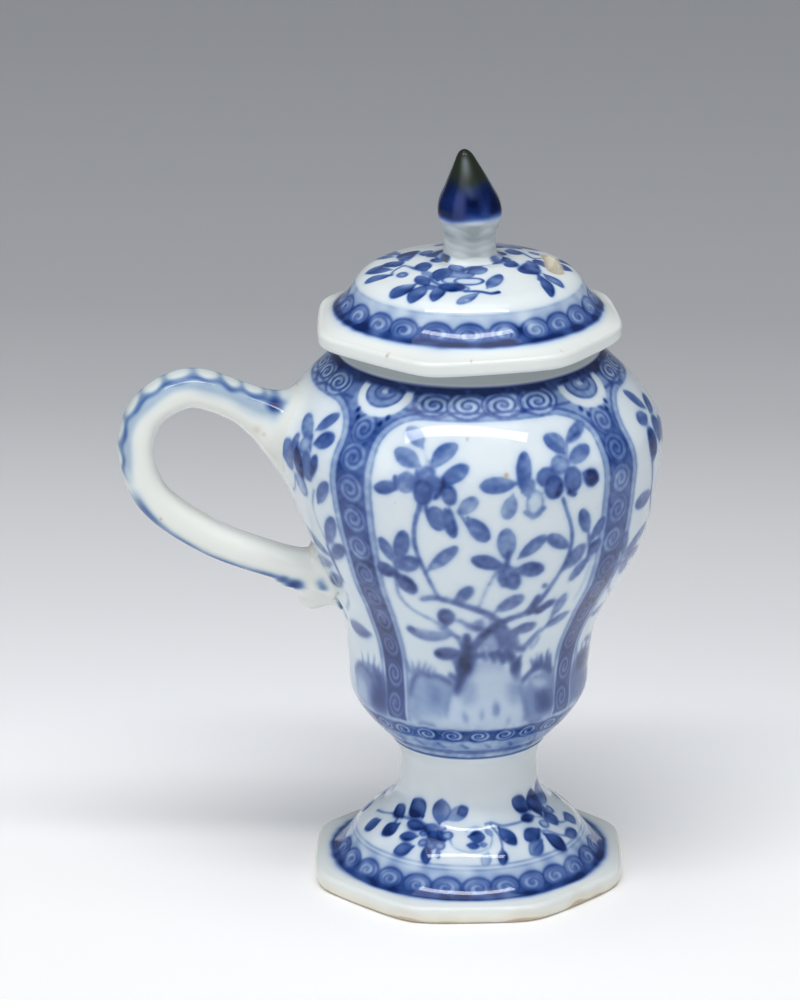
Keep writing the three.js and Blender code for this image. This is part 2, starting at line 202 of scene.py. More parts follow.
class Chart:
    def __init__(self, angles, run, radius, fat, deep, pointed):
        self.angle, self.run, self.radius = angles, run, radius
        self.fat, self.deep, self.pointed = fat, deep, pointed
        self.ink = np.zeros((len(run), len(angles)))

    def near(self, angle, low, high, reach, wide=None):
        """The grid cells round a motif, and their places in mm from its middle line."""
        turn = turned(self.angle, angle)
        rows = np.nonzero((self.run >= low - reach) & (self.run <= high + reach))[0]
        if wide is None:
            wide = np.degrees(reach / self.radius[rows].min())
        cols = np.nonzero(np.abs(turn) <= wide)[0]
        x = np.radians(turn[cols]) * self.radius[rows][:, None]
        return np.ix_(rows, cols), x, self.run[rows][:, None]

    def near_path(self, middle, points, path, reach):
        """The cells round a path in mm that belongs to these points."""
        s = [p[1] for p in points]
        least = min(self.radius_at(v) for v in s)
        wide = math.degrees((np.abs(path[:, 0]).max() + reach + .5) / least)
        return self.near(middle, min(s), max(s), reach, wide)

    def radius_at(self, s):
        return float(np.interp(s, self.run, self.radius))

    def in_mm(self, points):
        """The angle of the points' middle line, and their places in mm from it."""
        angles = [p[0] for p in points]
        middle = (min(angles) + max(angles)) / 2
        return middle, np.array([[math.radians(a - middle) * self.radius_at(s), s] for a, s in points])

    def deepen(self, tone):
        self.ink = np.maximum(self.ink, tone)

    def put(self, cells, over, soft, tone, cover):
        """Colours what lies inside. It deepens what is under it, and covers it where cover is 1."""
        old = self.ink[cells]
        deep = np.maximum(old * (1 - cover), tone) + .16 * np.minimum(old, tone) * (1 - cover)
        self.ink[cells] = old + smooth(.5 - over / (2 * soft)) * (deep - old)


def to_path(x, y, path):
    """How far each place is from the path, and at what share of its length."""
    best, share = np.full(x.shape, 1e9), np.zeros(x.shape)
    run = lengths(path)
    for (x0, y0), (dx, dy), start in zip(path, np.diff(path, axis=0), run):
        q = max(dx * dx + dy * dy, 1e-9)
        t = np.clip(((x - x0) * dx + (y - y0) * dy) / q, 0, 1)
        away = np.hypot(x - x0 - t * dx, y - y0 - t * dy)
        share = np.where(away < best, (start + t * math.sqrt(q)) / run[-1], share)
        best = np.minimum(best, away)
    return best, share


def leaf(chart, shift, a0, s0, a1, s1, width, tone, bend=0):
    """A brushed leaf from its stalk to its tip, a little darker round its edge."""
    points = [(a0, s0), (a1, s1)]
    middle, path = chart.in_mm(points)
    (bx, by), (tx, ty) = path
    size = math.hypot(tx - bx, ty - by)
    width *= chart.fat
    cells, x, y = chart.near_path(middle + shift, points, path, width + 1)
    ux, uy = (tx - bx) / size, (ty - by) / size
    u = ((x - bx) * ux + (y - by) * uy) / size
    bow = bend * size * 4 * np.clip(u, 0, 1) * (1 - np.clip(u, 0, 1))
    n = -(x - bx) * uy + (y - by) * ux - bow
    blade = np.clip((u - .07) / .93, 1e-4, 1 - 1e-4)
    egg = np.sqrt(1 - (2 * blade - 1) ** 2) * (.8 + .24 * blade)
    spear = np.sin(math.pi * blade) ** .85
    half = width / 2 * np.maximum(mix(egg, spear, chart.pointed), .15 * (u < .3))
    past = np.where(u < 0, u, u - 1) * size
    over = np.where((u < 0) | (u > 1), np.hypot(n, past) + .05, np.abs(n) - half)
    side = np.clip(n / (half + .2), -1, 1)
    body = tone * chart.deep * (.71 + .42 * bell(over + .14, .2) + .2 * side + .14 * (u - .5))
    chart.put(cells, over, .2, np.clip(body, 0, 1.1), .35)


def line(chart, shift, points, width, tone, soft=.16):
    """A brush line through the points. Width is one number, or one at each end."""
    widths = (width, width) if np.isscalar(width) else width
    middle, path = chart.in_mm(points)
    if len(points) > 2:
        path = even(spline(path, 12), .7)
    cells, x, y = chart.near_path(middle + shift, points, path, 1 + max(widths))
    away, share = to_path(x, y, path)
    half = mix(*widths, share) / 2
    chart.put(cells, away - half, soft, tone * (.93 + .1 * np.clip(away / (half + .1), 0, 1)), .25)


def oval(chart, shift, a, s, rx, ry, tilt, fill, rim, rim_width=.3, cover=.9, soft=.18):
    """An oval petal with its own outline."""
    cells, x, y = chart.near(a + shift, s, s, max(rx, ry) + .8)
    c, d = math.cos(math.radians(tilt)), math.sin(math.radians(tilt))
    px, py = x * c + (y - s) * d, -x * d + (y - s) * c
    over = np.hypot(px, py) * (1 - 1 / np.maximum(np.hypot(px / rx, py / ry), 1e-3))
    chart.put(cells, over, soft, mix(fill, rim, bell(over + rim_width / 2, rim_width)), cover)


def wash(chart, shift, points, tone, soft=.5, cover=0):
    """A soft wash inside a closed outline."""
    middle, path = chart.in_mm(points)
    path = spline(np.vstack([path, path[:1]]), 6)
    cells, x, y = chart.near_path(middle + shift, points, path, 1.5)
    away, _ = to_path(x, y, path)
    inside = np.zeros(x.shape, bool)
    for (x0, y0), (x1, y1) in zip(path[:-1], path[1:]):
        if abs(y1 - y0) > 1e-9:
            inside ^= ((y0 > y) != (y1 > y)) & (x < x0 + (y - y0) * (x1 - x0) / (y1 - y0))
    chart.put(cells, np.where(inside, -away, away), soft, tone, cover)


def scroll(chart, shift, a, s, rx, ry, hand, dark, pale, turn, pitch, core, brush):
    """A roundel with a spiral in it. Pitch is a share of its radius, brush half the line's width in mm."""
    cells, x, y = chart.near(a + shift, s, s, max(rx, ry) + .8)
    px, py = x / rx, (y - s) / ry
    r = np.hypot(px, py)
    size = (rx + ry) / 2
    wind = r / pitch - np.arctan2(py, px) * hand / (2 * math.pi) - turn
    gap = np.abs(wind - np.round(wind)) * pitch * size
    drawn = smooth(.5 - (gap - brush) / .26) * smooth((.97 - r) * 8)
    tone = mix(pale, dark, np.maximum(drawn, bell((r - 1) * size + .05, .24)))
    tone = np.where(r < pitch * .45, mix(tone, core, .6), tone)
    chart.put(cells, (r - 1) * size, .2, tone, 1)


BRUSHES = {"leaf": leaf, "line": line, "oval": oval, "wash": wash}


def paint(chart, table, shift=0, keep=(-180, 180)):
    """Draws a table of motifs. Each row is a brush and its strokes."""
    for brush, *strokes in table:
        for stroke in strokes:
            first = stroke[0] if np.isscalar(stroke[0]) else np.mean([p[0] for p in stroke[0]])
            if keep[0] <= first <= keep[1]:
                BRUSHES[brush](chart, shift, *stroke)


def soften(ink, times, step=1):
    """The glaze lets the blue bleed a little."""
    for _ in range(times):
        ink = (np.roll(ink, step, 1) + 2 * ink + np.roll(ink, -step, 1)) / 4
        pad = np.pad(ink, ((step, step), (0, 0)), mode="edge")
        ink = (pad[:-2 * step] + 2 * pad[step:-step] + pad[2 * step:]) / 4
    return ink


def bled(ink, blur, halo=.42, veil=.2):
    """Brushwork with soft edges and a faint blue haze round it. Blur runs from 0, crisp, to 2, washed out."""
    crisp = soften(ink, 1)
    middle = soften(crisp, 5)
    soft = mix(crisp, middle, np.clip(blur, 0, 1))
    soft = mix(soft, soften(middle, 10), np.clip(blur - 1, 0, 1))
    haze = soften(soft, 14)
    return soft + (halo * haze + veil * soften(haze, 6, 5)) * np.clip(1 - soft, 0, 1)


def unpainted(ink, hold):
    return 1 - np.clip(ink * hold, 0, 1)


# Painting of the body. Places are (angle, length up the outline from the foot).

# Each row is a brush and its strokes: leaf (stalk, tip, width, tone), line (points, width, tone, softness),
# oval (place, half width, half height, tilt, fill, rim), wash (points, tone, softness, cover).
FRONT_ROCKS = [
    ("wash", ([(-36, 12), (-36, 20), (-33, 22.5), (-27, 22), (-20, 21.6), (-15, 20), (-17.5, 15),
       (-22, 11.5)], .34, .6), ([(-30, 13), (-20, 13), (-19, 11.5), (-30, 11.5)], .2, .8, .5),
     ([(-26, 19.6), (-21, 19), (-20.4, 16), (-25, 15.6)], .42, 1.3)),
    ("line", ([(-35.5, 17), (-33, 20.2), (-29.9, 21.6), (-26.5, 21.3), (-20.3, 21.3),
       (-15.1, 20.2)], (.6, 1.1), .62, .4)),
    ("wash", ([(-18, 11), (-16, 17), (-12, 21), (-6, 24.4), (0, 25), (6, 24.6), (12, 22), (18, 20),
       (21, 16), (23, 11)], .2, .5, .6), ([(-10, 19), (-4, 20), (-4, 16.5), (-9, 16)], .34, 1.2),
     ([(11, 19.5), (17, 20), (18, 16), (14, 15.5)], .34, 1.2)),
    ("line", ([(-17.6, 13), (-16, 16.5), (-13.5, 19.4)], .35, .4, .3),
     ([(18.4, 19.8), (21.2, 17), (22.2, 13)], .35, .44, .3),
     ([(-17.8, 14), (-16, 17.5), (-14.2, 19.6)], .5, .45, .4)),
    ("leaf", (-9.8, 14.6, -7.6, 12.2, .9, .45), (-.9, 15.2, -.8, 12.9, .8, .42),
     (5.8, 16.4, 6.4, 13.4, 1.2, .52), (12, 13, 12.6, 11.6, .8, .4)),
    ("line", ([(-32, 11.3), (-28, 11.6), (-24, 11.4)], .5, .5, .3),
     ([(24, 11.2), (28, 11), (31, 11)], .5, .5, .3), ([(-6, 25.6), (-3, 26)], 1, .55, .6),
     ([(-1, 26.4), (.6, 25.2)], (1.2, .5), .62, .5), ([(3, 26.4), (4.6, 24.8)], (1.3, .5), .74, .5),
     ([(6.6, 26.6), (8.6, 24.4)], (1.6, .7), .84, .5)),
    ("wash", ([(-9, 25), (-5, 24.6), (-6, 21), (-10, 18.6)], .42, 1.2),
     ([(20, 11.5), (20.5, 18), (22.5, 20.3), (29, 20.8), (36, 20), (36, 12)], .42, .5),
     ([(23, 19.6), (30, 19.2), (34, 17.5), (33, 16), (26, 18.2)], .22, .6, .6),
     ([(27, 17), (33, 17), (36, 14), (34, 12.8), (28, 13.6)], .74, 1.3)),
    ("line", ([(17.9, 18.6), (19.4, 16.5), (21, 14.4), (23, 12.9)], .5, .55, .4),
     ([(19.4, 20), (22, 21.1), (25.4, 21.9), (30, 21.6), (34.5, 20.6)], 1, .72, .35)),
    ("leaf", (23.5, 21.2, 28, 22.8, 1.4, .85)),
]
GRASS = [
    ("line", ([(-35, 21.4), (-36, 23.6)], (.7, .3), .42), ([(-33, 21.6), (-33.4, 23.8)], (.7, .3), .4),
     ([(-31, 21.7), (-29.6, 24)], (.8, .3), .45), ([(-29, 21.6), (-26.2, 24)], (.7, .3), .48),
     ([(-27, 21.4), (-24, 23.4)], (.7, .3), .5), ([(-24, 21.5), (-22, 23)], (.6, .3), .4),
     ([(24.5, 22), (21.8, 24.2)], (.8, .3), .6), ([(26.4, 22), (24.4, 23.8)], (.9, .3), .65),
     ([(29, 22), (27, 24.8)], (.9, .3), .7), ([(31.4, 21.8), (30.4, 25.4)], (.9, .3), .7),
     ([(33.6, 21.4), (32.6, 24.2)], (.9, .3), .66), ([(28.5, 21.8), (24.5, 25)], (.5, .3), .45)),
]
FRONT_TREE = [
    ("line", ([(-22.6, 40.6), (-19, 41.3), (-14, 40.9), (-8.6, 39.7), (-3.8, 38.4), (0, 37.1), (4, 34.8),
       (8, 31.5), (11.5, 28)], (1, 1.7), .62, .35),
     ([(17.8, 37.2), (13.4, 36.4), (7.1, 35.2), (2.4, 33.4), (-1.6, 30.8), (-5, 28.2)], (1.2, 1.7),
       .66, .35), ([(-10.5, 35.4), (-6, 33.8), (-2.5, 33.2)], 1.1, .46, .5)),
    ("wash", ([(-4, 31.4), (0, 33), (4, 33.4), (7.6, 31), (9.5, 28.5), (4, 27), (-2, 27.6)], .26, 1),
     ([(-8, 33.4), (-2, 36.2), (-1, 34.4), (-4, 32.4)], .36, .8)),
    ("line", ([(3, 33.4), (6.6, 29.4), (9.8, 25.4)], 1.3, .6, .5)),
    ("oval", (.2, 28, .9, 1, 0, .14, .4), (8, 27.4, .6, 1.1, -25, .2, .4), (1.4, 35, .6, .7, 0, .14, .4)),
    ("line", ([(10.4, 31.4), (12, 29.3), (13.9, 27.6), (16.4, 27.2), (18.6, 28.2), (20.6, 29.9),
       (22.4, 31.4)], (1.8, .8), .44, .35), ([(14.5, 27), (17.4, 26.6)], 1, .55, .4)),
    ("oval", (21.7, 28.2, .8, 1.8, -10, .16, .45, .25)),
    ("line", ([(9, 28.4), (12.2, 25.2), (14.6, 22.8), (16, 21)], (1.2, 1.6), .5, .6)),
    ("oval", (14.9, 22.8, .9, 1.3, -20, .74, .74, .3, .2, .6)),
    ("line", ([(10, 26.8), (12.2, 25)], (.4, 1.2), .76, .35),
     ([(16.6, 25.2), (15.2, 23.8)], (.4, 1.2), .74, .35),
     ([(-7.7, 31.4), (-7.6, 28.6), (-8.1, 25.6), (-9, 23.4)], (.9, 2.6), .9, .5),
     ([(-8.6, 25), (-9.8, 22.6), (-11.2, 20.4), (-12.4, 18.4)], (2.5, .8), .92, .55),
     ([(-4.4, 26.6), (-5.8, 24.4)], (1.2, .8), .62, .5), ([(-15.2, 21.8), (-12.4, 21)], .9, .74, .45),
     ([(-13, 24.8), (-10.8, 23)], .9, .55, .5)),
    ("leaf", (-9.6, 27, -21.8, 26.2, 2.6, .86)),
    ("oval", (-20.2, 26.3, .75, .55, 0, .95, .95, .3, .2)),
    ("line", ([(22.6, 38.5), (18.8, 36.9)], (1.6, 1.8), 1, .35),
     ([(16.6, 40.9), (16, 38.8), (15.4, 37)], (.7, 1.8), .88, .3)),
    ("leaf", (-15.4, 33.6, -14.6, 38.6, 2.8, .97)),
]
FRONT_STEMS = [
    ("line", ([(-20.6, 61.4), (-21.4, 59.6), (-22.6, 57.5), (-23.4, 54.5), (-23.2, 52), (-21.9, 49),
       (-20, 45.9), (-18.1, 43.1), (-16, 40.6)], (.9, .5), .62),
     ([(21.4, 60.4), (23.2, 57.5), (24.8, 55), (25.7, 51.5), (24.8, 48), (21.5, 44), (19.4, 41.5),
       (17.6, 39)], (.6, .8), .62),
     ([(-31, 45), (-31.4, 41.6), (-30.2, 39.4), (-27, 37.2), (-20.6, 35.1), (-15.4, 33), (-11.4, 30.6),
       (-9, 27.6)], (.6, .8), .42), ([(-11, 30.8), (-15, 32.1), (-19, 33.3)], (.9, .3), .5),
     ([(-.6, 44.7), (-2.2, 42), (-3.6, 39)], .4, .42),
     ([(35.6, 50), (34.6, 46), (33.6, 41), (33, 37.6)], (.5, .3), .3),
     ([(25.6, 35), (25.4, 32.6), (23.4, 30.6)], (.6, .5), .45)),
]
FRONT_FLOWERS = [
    ("line", ([(-21.8, 71), (-20.2, 69), (-19.8, 66.8)], .4, .26)),
    ("leaf", (-21.4, 70.4, -28.2, 74.2, 2.7, .5, -.06), (-21.2, 67.2, -30.4, 69.8, 3, .6),
     (-18.3, 66.9, -10.6, 71.6, 2.9, .64, .06), (-15.4, 64.4, -7, 67.6, 2.7, .74)),
    ("line", ([(-19.4, 68.4), (-17, 66.6)], .5, .34)),
    ("leaf", (-27.4, 63.5, -35.2, 62.4, 2.2, .82)),
    ("line", ([(-28.9, 65), (-28.4, 62.9)], .6, .86)),
    ("oval", (-25.4, 64.2, 1.7, 1.9, 0, .4, .56), (-19.4, 65.4, 1.6, 2, 0, .46, .6)),
    ("line", ([(-22.4, 66.6), (-22.4, 63.6)], .4, .7)),
    ("oval", (-20.2, 62.7, 1.65, 2.3, 0, .6, .9), (-16.4, 63.9, 1, 1.8, 12, .56, .7)),
    ("line", ([(-14.4, 65.4), (-14.4, 63.4), (-16.6, 61.9)], .6, .95)),
    ("oval", (-12.5, 62.4, 1.3, 1.8, 10, .5, .84)),
    ("line", ([(-18.9, 61.2), (-14.5, 61.8), (-10.6, 62.3)], .3, .2),
     ([(-19.4, 60.6), (-19, 58.4)], .5, .82)),
    ("oval", (-16.2, 57.9, 1.7, 2.4, 18, .42, .72)),
    ("leaf", (-13.8, 60, -11.2, 54.2, 2, .8), (-12.6, 60.4, -12, 54.8, 1.4, .74),
     (-10, 58.9, -4.4, 62, 2.6, .54)),
    ("line", ([(-10, 59.6), (-7, 56.4)], .4, .64)),
    ("leaf", (-7.5, 58.4, -1.2, 53.6, 2.9, .77), (8.5, 62.4, 10.6, 69.8, 2.5, .74),
     (23.6, 68.2, 18.6, 72.3, 3.2, .64, -.1), (24.8, 69.9, 35.2, 73.4, 2.2, .5)),
    ("line", ([(25.8, 70.4), (31.5, 71.6)], .6, .62),
     ([(25.6, 70.2), (24, 67.6), (23.6, 66.2)], .4, .36)),
    ("leaf", (23.8, 66.5, 33, 68.8, 2.6, .66), (28.2, 64.4, 33.6, 62.2, 2.8, 1)),
    ("oval", (31.2, 63.2, 1.25, 1.3, 0, 1, 1)),
    ("leaf", (7.4, 64.3, -3.8, 64, 2.8, .64)),
    ("line", ([(8.8, 64.6), (9.4, 62.1), (14.6, 62)], .35, .66)),
    ("oval", (10.6, 63.6, 1.2, 1.4, 0, .4, .5), (16.3, 64.8, 1.9, 1.7, 0, .44, .74),
     (21.2, 66.6, 1.8, 1.7, 0, .32, .54), (24.8, 63.6, 1.8, 2.3, 0, .46, .76),
     (18.4, 62.8, 1.8, 2.1, 0, .58, .92)),
    ("line", ([(19.6, 61.2), (20.6, 63)], .8, .98), ([(23.4, 61.4), (25.4, 60.8)], .8, .86)),
    ("leaf", (6, 62.6, 3.8, 57.6, 2.7, .5)),
    ("oval", (12.5, 60.4, 1.75, 2.5, 0, .12, .42, .4)),
    ("line", ([(9.6, 58.8), (12.4, 57.6), (15.4, 59.2)], .9, .48)),
    ("leaf", (4.9, 49.4, 4, 56, 3.2, .56)),
    ("oval", (4.2, 53.6, .8, 1.1, 0, .36, .36, .3, .8)),
    ("leaf", (8, 49.6, 16.6, 53.8, 2.3, .68), (7.6, 47.6, 17, 46.8, 2.7, .84),
     (4, 49, 8.4, 43.2, 2.9, .84), (4.2, 48.2, -6.2, 50.2, 2.5, .78), (2.6, 48.6, 4.4, 43.9, 1.6, .74)),
    ("line", ([(5, 51), (4.8, 48)], .7, .76), ([(3.6, 48.6), (1, 46.6), (-.4, 44.6)], .4, .5)),
    ("leaf", (25.2, 50.4, 17, 53.7, 2.3, .62), (31.8, 52.2, 28.2, 57.6, 2.2, .8)),
    ("line", ([(31.8, 52.4), (33.2, 49), (33.4, 46.6)], .6, .66)),
    ("leaf", (24.2, 45.8, 30.8, 50.5, 2.8, .66), (33.2, 47.6, 27.2, 43.2, 1.9, .62),
     (33, 50.6, 37.6, 54.8, 2, .74), (32.6, 47.6, 37.4, 50.4, 2.4, .74)),
    ("oval", (18.2, 43.2, .55, .55, 0, .6, .6)),
    ("leaf", (-29.6, 48.3, -26.2, 55, 2.7, .76), (-31, 48, -34.6, 52.9, 2.2, .76),
     (-30.2, 46.9, -22.6, 49.2, 2.9, .7), (-30.2, 45.8, -37.6, 46.5, 2.6, .84),
     (-30.2, 45.8, -25, 41.8, 3, .86)),
    ("line", ([(-30.4, 48.8), (-30.8, 45)], .7, .7)),
    ("leaf", (-20, 47.1, -10.2, 52.6, 2.2, .72), (-11.4, 40.2, -5.8, 44.2, 2.2, .72),
     (2.2, 37.6, 11.2, 41.6, 2.9, .7), (9.6, 32, 20, 32.7, 2.4, .7),
     (-12, 31.7, -32.6, 31.8, 2.7, .5, .1)),
    ("oval", (-30.4, 31.9, .8, .8, 0, .6, .6, .3, .2)),
    ("leaf", (26.1, 34, 27.4, 40.2, 2.2, .6), (23.4, 31.4, 33.8, 34.4, 2.1, .64)),
]
LEFT_PANEL = [
    ("line", ([(-63.8, 68.2), (-61.6, 65.6)], .5, .72),
     ([(-60, 58.6), (-61.4, 57), (-63.2, 54), (-61.6, 47)], .5, .42)),
    ("leaf", (-63.6, 69.2, -56.8, 73.6, 2.3, .68), (-63.6, 67.4, -73, 71, 2.9, .68),
     (-61.4, 67, -53.6, 69.4, 2.9, .84)),
    ("oval", (-65.2, 66.2, 1.6, 1.7, 0, .28, .55), (-74, 62.8, 2, 2.9, 20, .4, .62),
     (-70.6, 65.4, 1.2, 2, 15, .4, .62), (-62.4, 62.6, 1.6, 2.8, 12, .5, .68),
     (-58.9, 63.6, 1, 1.8, -8, .66, .8)),
    ("line", ([(-58.8, 62.6), (-59.8, 61.6)], .7, .95)),
    ("oval", (-67.3, 62.4, 1.5, 2.9, 24, 1, 1), (-67.4, 58.2, 1.9, 2.2, 30, .24, .6)),
    ("line", ([(-70.4, 60), (-74, 56.4), (-77, 55.4)], .5, .55)),
    ("leaf", (-59.6, 55.8, -52.8, 61.2, 2.3, .74), (-61.4, 47.1, -52.8, 54.2, 2.7, .76),
     (-62, 44.2, -51.4, 48.5, 2.4, .8), (-62.6, 44.6, -80, 47.2, 2.7, .62),
     (-63.6, 42.7, -82, 40.6, 2.5, .66), (-59.6, 40.2, -77, 36.2, 3, .8)),
    ("line", ([(-62, 46.6), (-61, 42), (-60.4, 39.6)], .8, .72),
     ([(-63, 36), (-66, 33), (-72, 30.5)], .7, .32)),
    ("leaf", (-54.2, 27.4, -73.6, 27, 3, .72)),
    ("wash", ([(-74, 11.5), (-76, 17), (-68, 20), (-58, 20.5), (-52, 19), (-51, 12)], .42, .6),
     ([(-74, 16.5), (-66, 16), (-64, 12.5), (-74, 12)], .26, .8, .6),
     ([(-57, 20), (-51, 19), (-51, 12), (-60, 12)], .72, 1.4)),
    ("line", ([(-77, 17), (-70, 19.4), (-62, 18.6), (-56, 17)], .9, .62, .4),
     ([(-66, 19.6), (-67, 22)], (.8, .3), .45), ([(-62, 19.8), (-61, 22.4)], (.8, .3), .5),
     ([(-58, 19.8), (-56, 22.6)], (.8, .3), .5), ([(-55, 19.4), (-53, 21.4)], (.8, .3), .5)),
]
RIGHT_PANEL = [
    ("line", ([(62, 61.8), (65, 57.3), (66.4, 53.8), (73, 48), (80, 44.6)], (.8, .6), .6)),
    ("leaf", (72.2, 69.4, 65.2, 74.8, 2.4, .76), (69.2, 68.8, 60.4, 69.2, 2.6, .72),
     (72.6, 68.4, 81.6, 70.6, 2.8, .72)),
    ("oval", (72.4, 65.4, 2.4, 2.4, 0, .62, .74), (64.2, 64, 2.1, 3, -8, .84, .92),
     (78.5, 64, 2.2, 2.4, 0, .5, .66)),
    ("leaf", (66.2, 54.3, 53.2, 54.5, 3, .78)),
    ("line", ([(55, 45), (52, 43), (50.6, 40), (55.5, 36), (71.5, 32.3), (84.7, 30.9)], (.7, .5), .46)),
    ("leaf", (52.4, 44.6, 49.8, 49.8, 2.2, .68), (52.6, 45, 69, 47.8, 2.4, .68),
     (53, 44, 67, 42.8, 2.3, .62), (52, 43, 61, 39.6, 2.4, .66), (51.6, 43.6, 46.6, 43, 1.8, .5),
     (66, 30.5, 52.6, 30.7, 2.4, .52)),
    ("wash", ([(51, 12), (51, 20), (56, 21.5), (66, 21.6), (74, 20), (78, 12)], .5, .7),
     ([(54, 21.4), (64, 21.6), (66, 18.5), (56, 18)], .78, .8)),
    ("line", ([(54, 20), (52.6, 23)], (.8, .3), .5), ([(58, 21), (57, 23.6)], (.8, .3), .6),
     ([(63, 21.4), (64, 23.8)], (.8, .3), .6), ([(68, 21), (70, 23.4)], (.8, .3), .55),
     ([(60, 23.8), (66, 23.2), (72, 22.2)], .9, .6, .4)),
]
# Each panel's middle and half width in degrees
PANELS = ((0, 36.6), (90, 38.6), (180, 36.6), (270, 38.8))
PILASTERS = (-43.9, 43.6, 136.4, 223.8)
SCROLL_HEIGHTS = (72.4, 66.9, 61.2, 55.4, 49.6, 43.8, 38.2, 32.4, 26.4, 20.4, 14.4)
PANEL_TOP, PANEL_BEND = 76.0, 7.0
CORNER_FLOWER = ((1.4, 79.7, 5.6, 4.7, 0, .04, .3), (1.2, 79.9, 3.9, 3, .32, .7, .28),
                 (1.4, 80.1, 2.3, 1.6, .34, .74, .26), (1.2, 80.2, 1.1, .8, .06, .5, .2))
LOW_TOP, LOW_SCROLLS, LOW_PITCH = 11.6, 26, 13.85
# Bands under the panels: (tone, from, soft rise, to, soft fall)
LOW_BANDS = ((.3, -1, .1, LOW_TOP, .6), (.74, 6.5, .6, 10.5, .5), (.34, -1, .1, 7, .6),
             (.62, 1.3, .8, 3.9, .8), (.75, -1, .1, .45, .3))


def panel_edge(chart, middle, half):
    """How far outside a panel's outline each point lies, in mm."""
    radius = chart.radius[:, None]
    wide = math.radians(half) * radius - PANEL_BEND
    x = np.abs(np.radians(turned(chart.angle, middle))) * radius - wide
    y = chart.run[:, None] - (PANEL_TOP - PANEL_BEND)
    return np.hypot(np.maximum(x, 0), np.maximum(y, 0)) + np.minimum(np.maximum(x, y), 0) - PANEL_BEND


def paint_ground(chart):
    """White panels with a double line round them, and the blue ground of the pilasters."""
    s = chart.run[:, None]
    edge = np.min([panel_edge(chart, middle, half) for middle, half in PANELS], axis=0)
    stripe = .04 * chart.radius[:, None]
    ground = .8 - .16 * smooth((s - 44) / 16) - .24 * smooth((s - 72) / 3)
    ground = ground - .12 * between(chart.angle, 20, 10, 70, 10)
    # The ground turns full dark just under the neck: partly the dark line painted round the neck, partly
    # painted shadow of the lid's overhang.
    ground = mix(ground, 1, smooth((s - 79.9) / 1.1))
    chart.ink = np.where(edge > stripe, ground, .04 + .12 * smooth((21 - s) / 3))
    chart.ink[(edge > 0) & (edge <= stripe)] = .24
    chart.deepen(.56 * bell(edge, .24))
    chart.deepen(.8 * bell(edge - stripe - .1, .26))


def paint_pilasters(chart):
    for middle in PILASTERS:
        for k, height in enumerate(SCROLL_HEIGHTS):
            dark, pale, brush = (.84, .34, .15) if k < 5 else (.92, .44, .22)
            wide = .086 * chart.radius_at(height)
            scroll(chart, 0, middle + .3 * math.sin(3.1 * k), height, wide, 3, hand=1, dark=dark, pale=pale,
                   turn=.17 * k, pitch=.42, core=.7, brush=brush)
    for quarter in (0, 90, 180, 270):
        for k, a in enumerate((-20.5, -7, 6.5, 20.8)):
            scroll(chart, quarter, a, 78.9, 3.9, 2.8, hand=-1 if k < 2 else 1, dark=.84, pale=.14,
                   turn=.3 * k, pitch=.36, core=.6, brush=.2)
        for a in (-27.6, -13.8, -.3, 13.6):
            leaf(chart, quarter, a - 1.4, 78.1, a + 1.6, 79.2, .9, .3)
        line(chart, quarter, [(-34, 77.4), (-20, 77.5), (0, 77.5), (20, 77.5), (34, 77.4)], .35, .7)
    for k, middle in enumerate(PILASTERS):
        tilt = 8 if k % 2 == 0 else -8
        for a, s, rx, ry, *tones in CORNER_FLOWER:
            oval(chart, 0, middle + a, s, rx, ry, tilt, *tones, 1)
        line(chart, 0, [(middle + 3.4, 80.6), (middle + 6.6, 81.2), (middle + 9.4, 80.8)], 1.0, .92)
        for a, s in ((-4.6, 74.2), (5.2, 74.0), (-6.4, 75.6), (7.2, 75.3)):
            oval(chart, 0, middle + a, s, .4, .55, 0, .95, .95, .3, .2)
    # Full dark at the top of the shoulder: partly the dark line round the neck, partly painted shadow of the
    # lid's overhang.
    chart.deepen(smooth((chart.run[:, None] - 80.7) / .7))


def paint_low_band(chart):
    """Bands between the panels and the seam on the stem."""
    s = chart.run[:, None]
    band = 0
    for tone, *edges in LOW_BANDS:
        band = np.maximum(band, tone * between(s, *edges))
    mixed = mix(chart.ink, np.maximum(band, chart.ink), smooth((LOW_TOP - s) / .7))
    chart.ink = np.where(s < LOW_TOP - .4, band, mixed)
    for k in range(LOW_SCROLLS):
        scroll(chart, 0, -84.6 + k * LOW_PITCH, 8.5, 2.25, 1.9, hand=1, dark=1, pale=.26, turn=.2 * k,
               pitch=.44, core=1, brush=.17)
        line(chart, 0, [(-80 + k * LOW_PITCH, 5.6), (-77 + k * LOW_PITCH, 4.2)], .5, .5, .3)


def paint_body(chart):
    """The front's garden is repeated on the back, and its edges run on at both ends of the side panels."""
    paint_ground(chart)
    paint_pilasters(chart)
    paint_low_band(chart)
    for turn in (0, 180):
        paint(chart, FRONT_ROCKS + GRASS + FRONT_STEMS + FRONT_TREE + FRONT_FLOWERS, turn)
    for panel, turn, keep in ((LEFT_PANEL, -90, (-36, -2)), (RIGHT_PANEL, 90, (2, 37))):
        paint(chart, panel)
        paint(chart, FRONT_ROCKS + GRASS + FRONT_TREE + FRONT_FLOWERS, turn, keep)


# Painting of the cover and the foot. Places are (angle, length up the outline from the octagonal rim).

